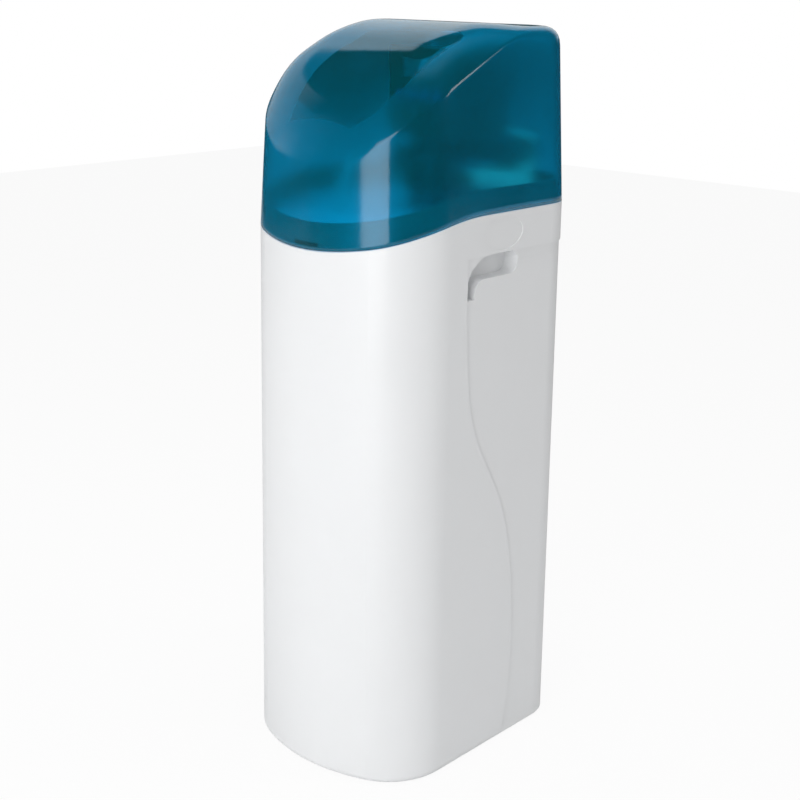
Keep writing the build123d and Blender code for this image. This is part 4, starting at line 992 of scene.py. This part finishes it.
    def knuckles(self, finish: bpy.types.Material) -> bpy.types.Object:
        """Makes the two hinge knuckles with their pin holes.

        Args:
            finish: The cover's outer material.

        Returns:
            Both knuckles as one object.
        """
        back = self.outline.depth / 2 - self.wall / 2 - self.hinge_y
        angles = [math.tau * i / self.knuckle_points for i in range(self.knuckle_points)]
        angles += [math.atan2(self.hinge_web, back), math.atan2(-self.hinge_radius / 2, back) % math.tau]
        angles.sort()
        count = len(angles)
        points: list[Point] = []
        faces: list[Sequence[int]] = []
        for side in (-1, 1):
            first = len(points)
            for outer, start in ((True, True), (True, False), (False, False), (False, True)):
                x = side * (self.knuckle_start + (0 if start else self.knuckle))
                for angle in angles:
                    far = self.reach(angle) if outer else self.hinge_bore
                    y = self.hinge_y + far * math.cos(angle)
                    z = self.hinge_z + far * math.sin(angle)
                    points.append((x, y, z))
            for loop in range(4):
                for i in range(count):
                    j = (i + 1) % count
                    a, b = first + loop * count, first + (loop + 1) % 4 * count
                    faces.append((a + i, a + j, b + j, b + i))
        made = mesh_object("cover_knuckles", points, faces, smooth=False)
        edit(made, lambda mesh: bmesh.ops.recalc_face_normals(mesh, faces=mesh.faces))
        made.data.materials.append(finish)
        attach(made, "cover")
        LOG.info("cover knuckles: %d faces", len(made.data.polygons))
        return made

    def gate_row(
        self, ring: Sequence[Sequence[Point]], first: int, last: int, points: list[Point], per: int
    ) -> int:
        """Moves one row of points at the rear onto the top edge of the pipe gap.

        Args:
            ring: Points of each column.
            first: First column of the gap.
            last: Last column of the gap.
            points: All the points, changed in place.
            per: Points in a column.

        Returns:
            The row's number.
        """
        heights = [p[2] for p in ring[first][: self.wall_rows + 1]]
        row = min(range(len(heights)), key=lambda k: abs(heights[k] - self.gate_top))
        for i in range(first, last + 1):
            x, y, _ = points[i * per + row]
            points[i * per + row] = (x, y, self.gate_top)
        return row

    def weld(self, mesh: bmesh.types.BMesh) -> None:
        """Merges the middle line and drops loose points."""
        bmesh.ops.remove_doubles(mesh, verts=mesh.verts, dist=self.weld_gap * MM)
        loose = [v for v in mesh.verts if not v.link_faces]
        bmesh.ops.delete(mesh, geom=loose, context="VERTS")
        bmesh.ops.recalc_face_normals(mesh, faces=mesh.faces)


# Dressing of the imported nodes


@dataclass
class FrameDress:
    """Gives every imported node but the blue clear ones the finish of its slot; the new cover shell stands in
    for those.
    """

    made: dict[str, bpy.types.Material] = field(default_factory=dict)

    def finish(self, slot: str) -> bpy.types.Material:
        """Material of a slot, built once."""
        if slot not in self.made:
            self.made[slot] = FINISHES[slot].make()
        return self.made[slot]

    def build(self) -> None:
        """Dresses all nodes but the blue clear ones."""
        slots = {s["node"]: s["material_slot"] for s in frame["record"]["subparts"]}
        for name, node in frame["nodes"].items():
            slot = slots[name]
            if slot == "blue_clear":
                continue
            node.data.materials.clear()
            node.data.materials.append(self.finish(slot))
            LOG.info("dressed %s in %s", name, slot)
        LOG.info("dressed %d nodes in %d finishes", len(frame["nodes"]), len(self.made))


# Camera, lights and floor


@dataclass(frozen=True)
class Lamp:
    """Soft rectangular lamp that the camera doesn't see: place, target and size in metres, power in watts."""

    name: str
    place: Point
    target: Point
    size: tuple[float, float]
    power: float
    gloss: bool = True

    def make(self) -> bpy.types.Object:
        """Makes the lamp."""
        data = bpy.data.lights.new(self.name, "AREA")
        data.shape = "RECTANGLE"
        data.size, data.size_y = self.size
        data.energy = self.power
        lamp = bpy.data.objects.new(self.name, data)
        bpy.context.scene.collection.objects.link(lamp)
        aim = Vector(self.target) - Vector(self.place)
        lamp.rotation_euler = aim.to_track_quat("-Z", "Y").to_euler()
        lamp.location = self.place
        lamp.visible_camera = False
        lamp.visible_glossy = self.gloss
        return lamp


@dataclass
class Studio:
    """Camera at the photograph's viewpoint, soft lamps, pale floor."""

    spot: Point = (1.4119, -1.5867, 1.1730)
    forward: Point = (-0.6399, 0.7175, -0.2751)
    right: Point = (0.7436, 0.6686, 0.0143)
    lens: float = 64.68
    shift_y: float = -0.0209
    panel_turn: float = math.radians(-58)
    panel_top: float = 0.62
    panel_level: float = 0.85
    gloss_level: float = 0.02
    through_level: float = 0.05
    through_front: float = 1.0
    fill_level: float = 0.42
    panel_edge: float = 0.012
    floor_reach: float = 6000.0
    floor_white: float = 0.92
    floor_through: float = 0.5
    floor_tones: tuple[Rgb, Rgb] = ((0.88, 0.88, 0.88), (0.90, 0.90, 0.90))
    panel_side_fade: tuple[float, float] = (0.35, 0.75)
    panel_low_fade: tuple[float, float] = (0.04, 0.14)
    ahead_fade: tuple[float, float] = (-0.3, 0.5)
    ahead_low_fade: tuple[float, float] = (0.0, 0.35)
    lamps: tuple[Lamp, ...] = (
        Lamp("front", (0.78, -2.55, 1.10), (0.0, 0.0, 0.75), (1.65, 1.9), 38.0),
        Lamp("left", (-2.4, -1.6, 1.6), (0.0, 0.0, 0.5), (1.4, 1.8), 13.0, False),
        Lamp("top", (0.2, 0.2, 2.8), (0.0, 0.0, 0.9), (1.2, 1.2), 18.0, False),
        Lamp("right", (2.2, 1.45, 1.75), (0.0, 0.0, 0.95), (0.45, 1.2), 8.0),
    )

    def camera(self) -> None:
        """Makes the camera."""
        data = bpy.data.cameras.new("camera")
        data.sensor_fit = "HORIZONTAL"
        data.sensor_width = 36.0
        data.lens = self.lens
        data.shift_y = self.shift_y
        data.clip_end = 50.0
        camera = bpy.data.objects.new("camera", data)
        bpy.context.scene.collection.objects.link(camera)
        back = -Vector(self.forward).normalized()
        side = Vector(self.right).normalized()
        up = back.cross(side).normalized()
        side = up.cross(back)
        turn = Matrix((side, up, back)).transposed()
        camera.matrix_world = Matrix.Translation(self.spot) @ turn.to_4x4()
        bpy.context.scene.camera = camera

    def floor(self) -> None:
        """Makes the pale floor."""
        reach = self.floor_reach
        floor = mesh_object(
            "floor",
            [(-reach, -reach, 0), (reach, -reach, 0), (reach, reach, 0), (-reach, reach, 0)],
            [(0, 1, 2, 3)],
        )
        shader = Shader("floor_paint")
        cloud = shader.noise(1.5, 2.0)
        surface = shader.node(
            "ShaderNodeBsdfPrincipled",
            None,
            {"Base Color": shader.blend(cloud, *self.floor_tones), "Roughness": 0.7},
        )
        white = shader.node("ShaderNodeEmission", None, {"Color": (1.0, 1.0, 1.0), "Strength": 1.0})
        seen = shader.ray("Camera").high(shader.ray("Transmission") * self.floor_through)
        floor.data.materials.append(shader.end(shader.either(seen * self.floor_white, surface, white)))

    def world(self) -> None:
        """Makes the surroundings: white to the camera, a bright backdrop at the rear left for gloss."""
        world = bpy.data.worlds.new("studio")
        bpy.context.scene.world = world
        world.use_nodes = True
        sky = Shader.of_tree(world.node_tree)
        way = sky.node("ShaderNodeTexCoord").outputs["Generated"]
        split = sky.node("ShaderNodeSeparateXYZ", None, {0: way})
        x, y, z = (Value(sky, socket) for socket in split.outputs)
        aside = y * math.cos(self.panel_turn) + x * math.sin(self.panel_turn)
        upper = z.ramp(self.panel_top - self.panel_edge, self.panel_top + self.panel_edge)
        band = z.ramp(*self.panel_low_fade) * (1 - upper)
        panel = aside.ramp(*self.panel_side_fade) * band * self.panel_level
        ahead = (0 - y).ramp(*self.ahead_fade) * z.ramp(*self.ahead_low_fade)
        within = ahead * self.through_front + self.through_level
        camera, gloss, through = (sky.ray(kind) for kind in ("Camera", "Glossy", "Transmission"))
        seen = camera + (1 - camera) * (
            gloss * (panel + self.gloss_level)
            + (1 - gloss) * (through * within + (1 - through) * self.fill_level)
        )
        back = sky.node("ShaderNodeBackground", None, {"Color": (1.0, 1.0, 1.0), "Strength": seen})
        sky.node("ShaderNodeOutputWorld", None, {"Surface": back.outputs[0]})

    def build(self) -> None:
        """Sets up the studio."""
        bpy.context.scene.view_settings.view_transform = "Standard"
        self.camera()
        self.floor()
        self.world()
        for lamp in self.lamps:
            lamp.make()


def main() -> None:
    """Builds everything in order."""
    logging.basicConfig(level=logging.INFO, format="%(name)s: %(message)s")
    Studio().build()
    FrameDress().build()
    CoverShell().build()


if __name__ == "__main__":
    main()
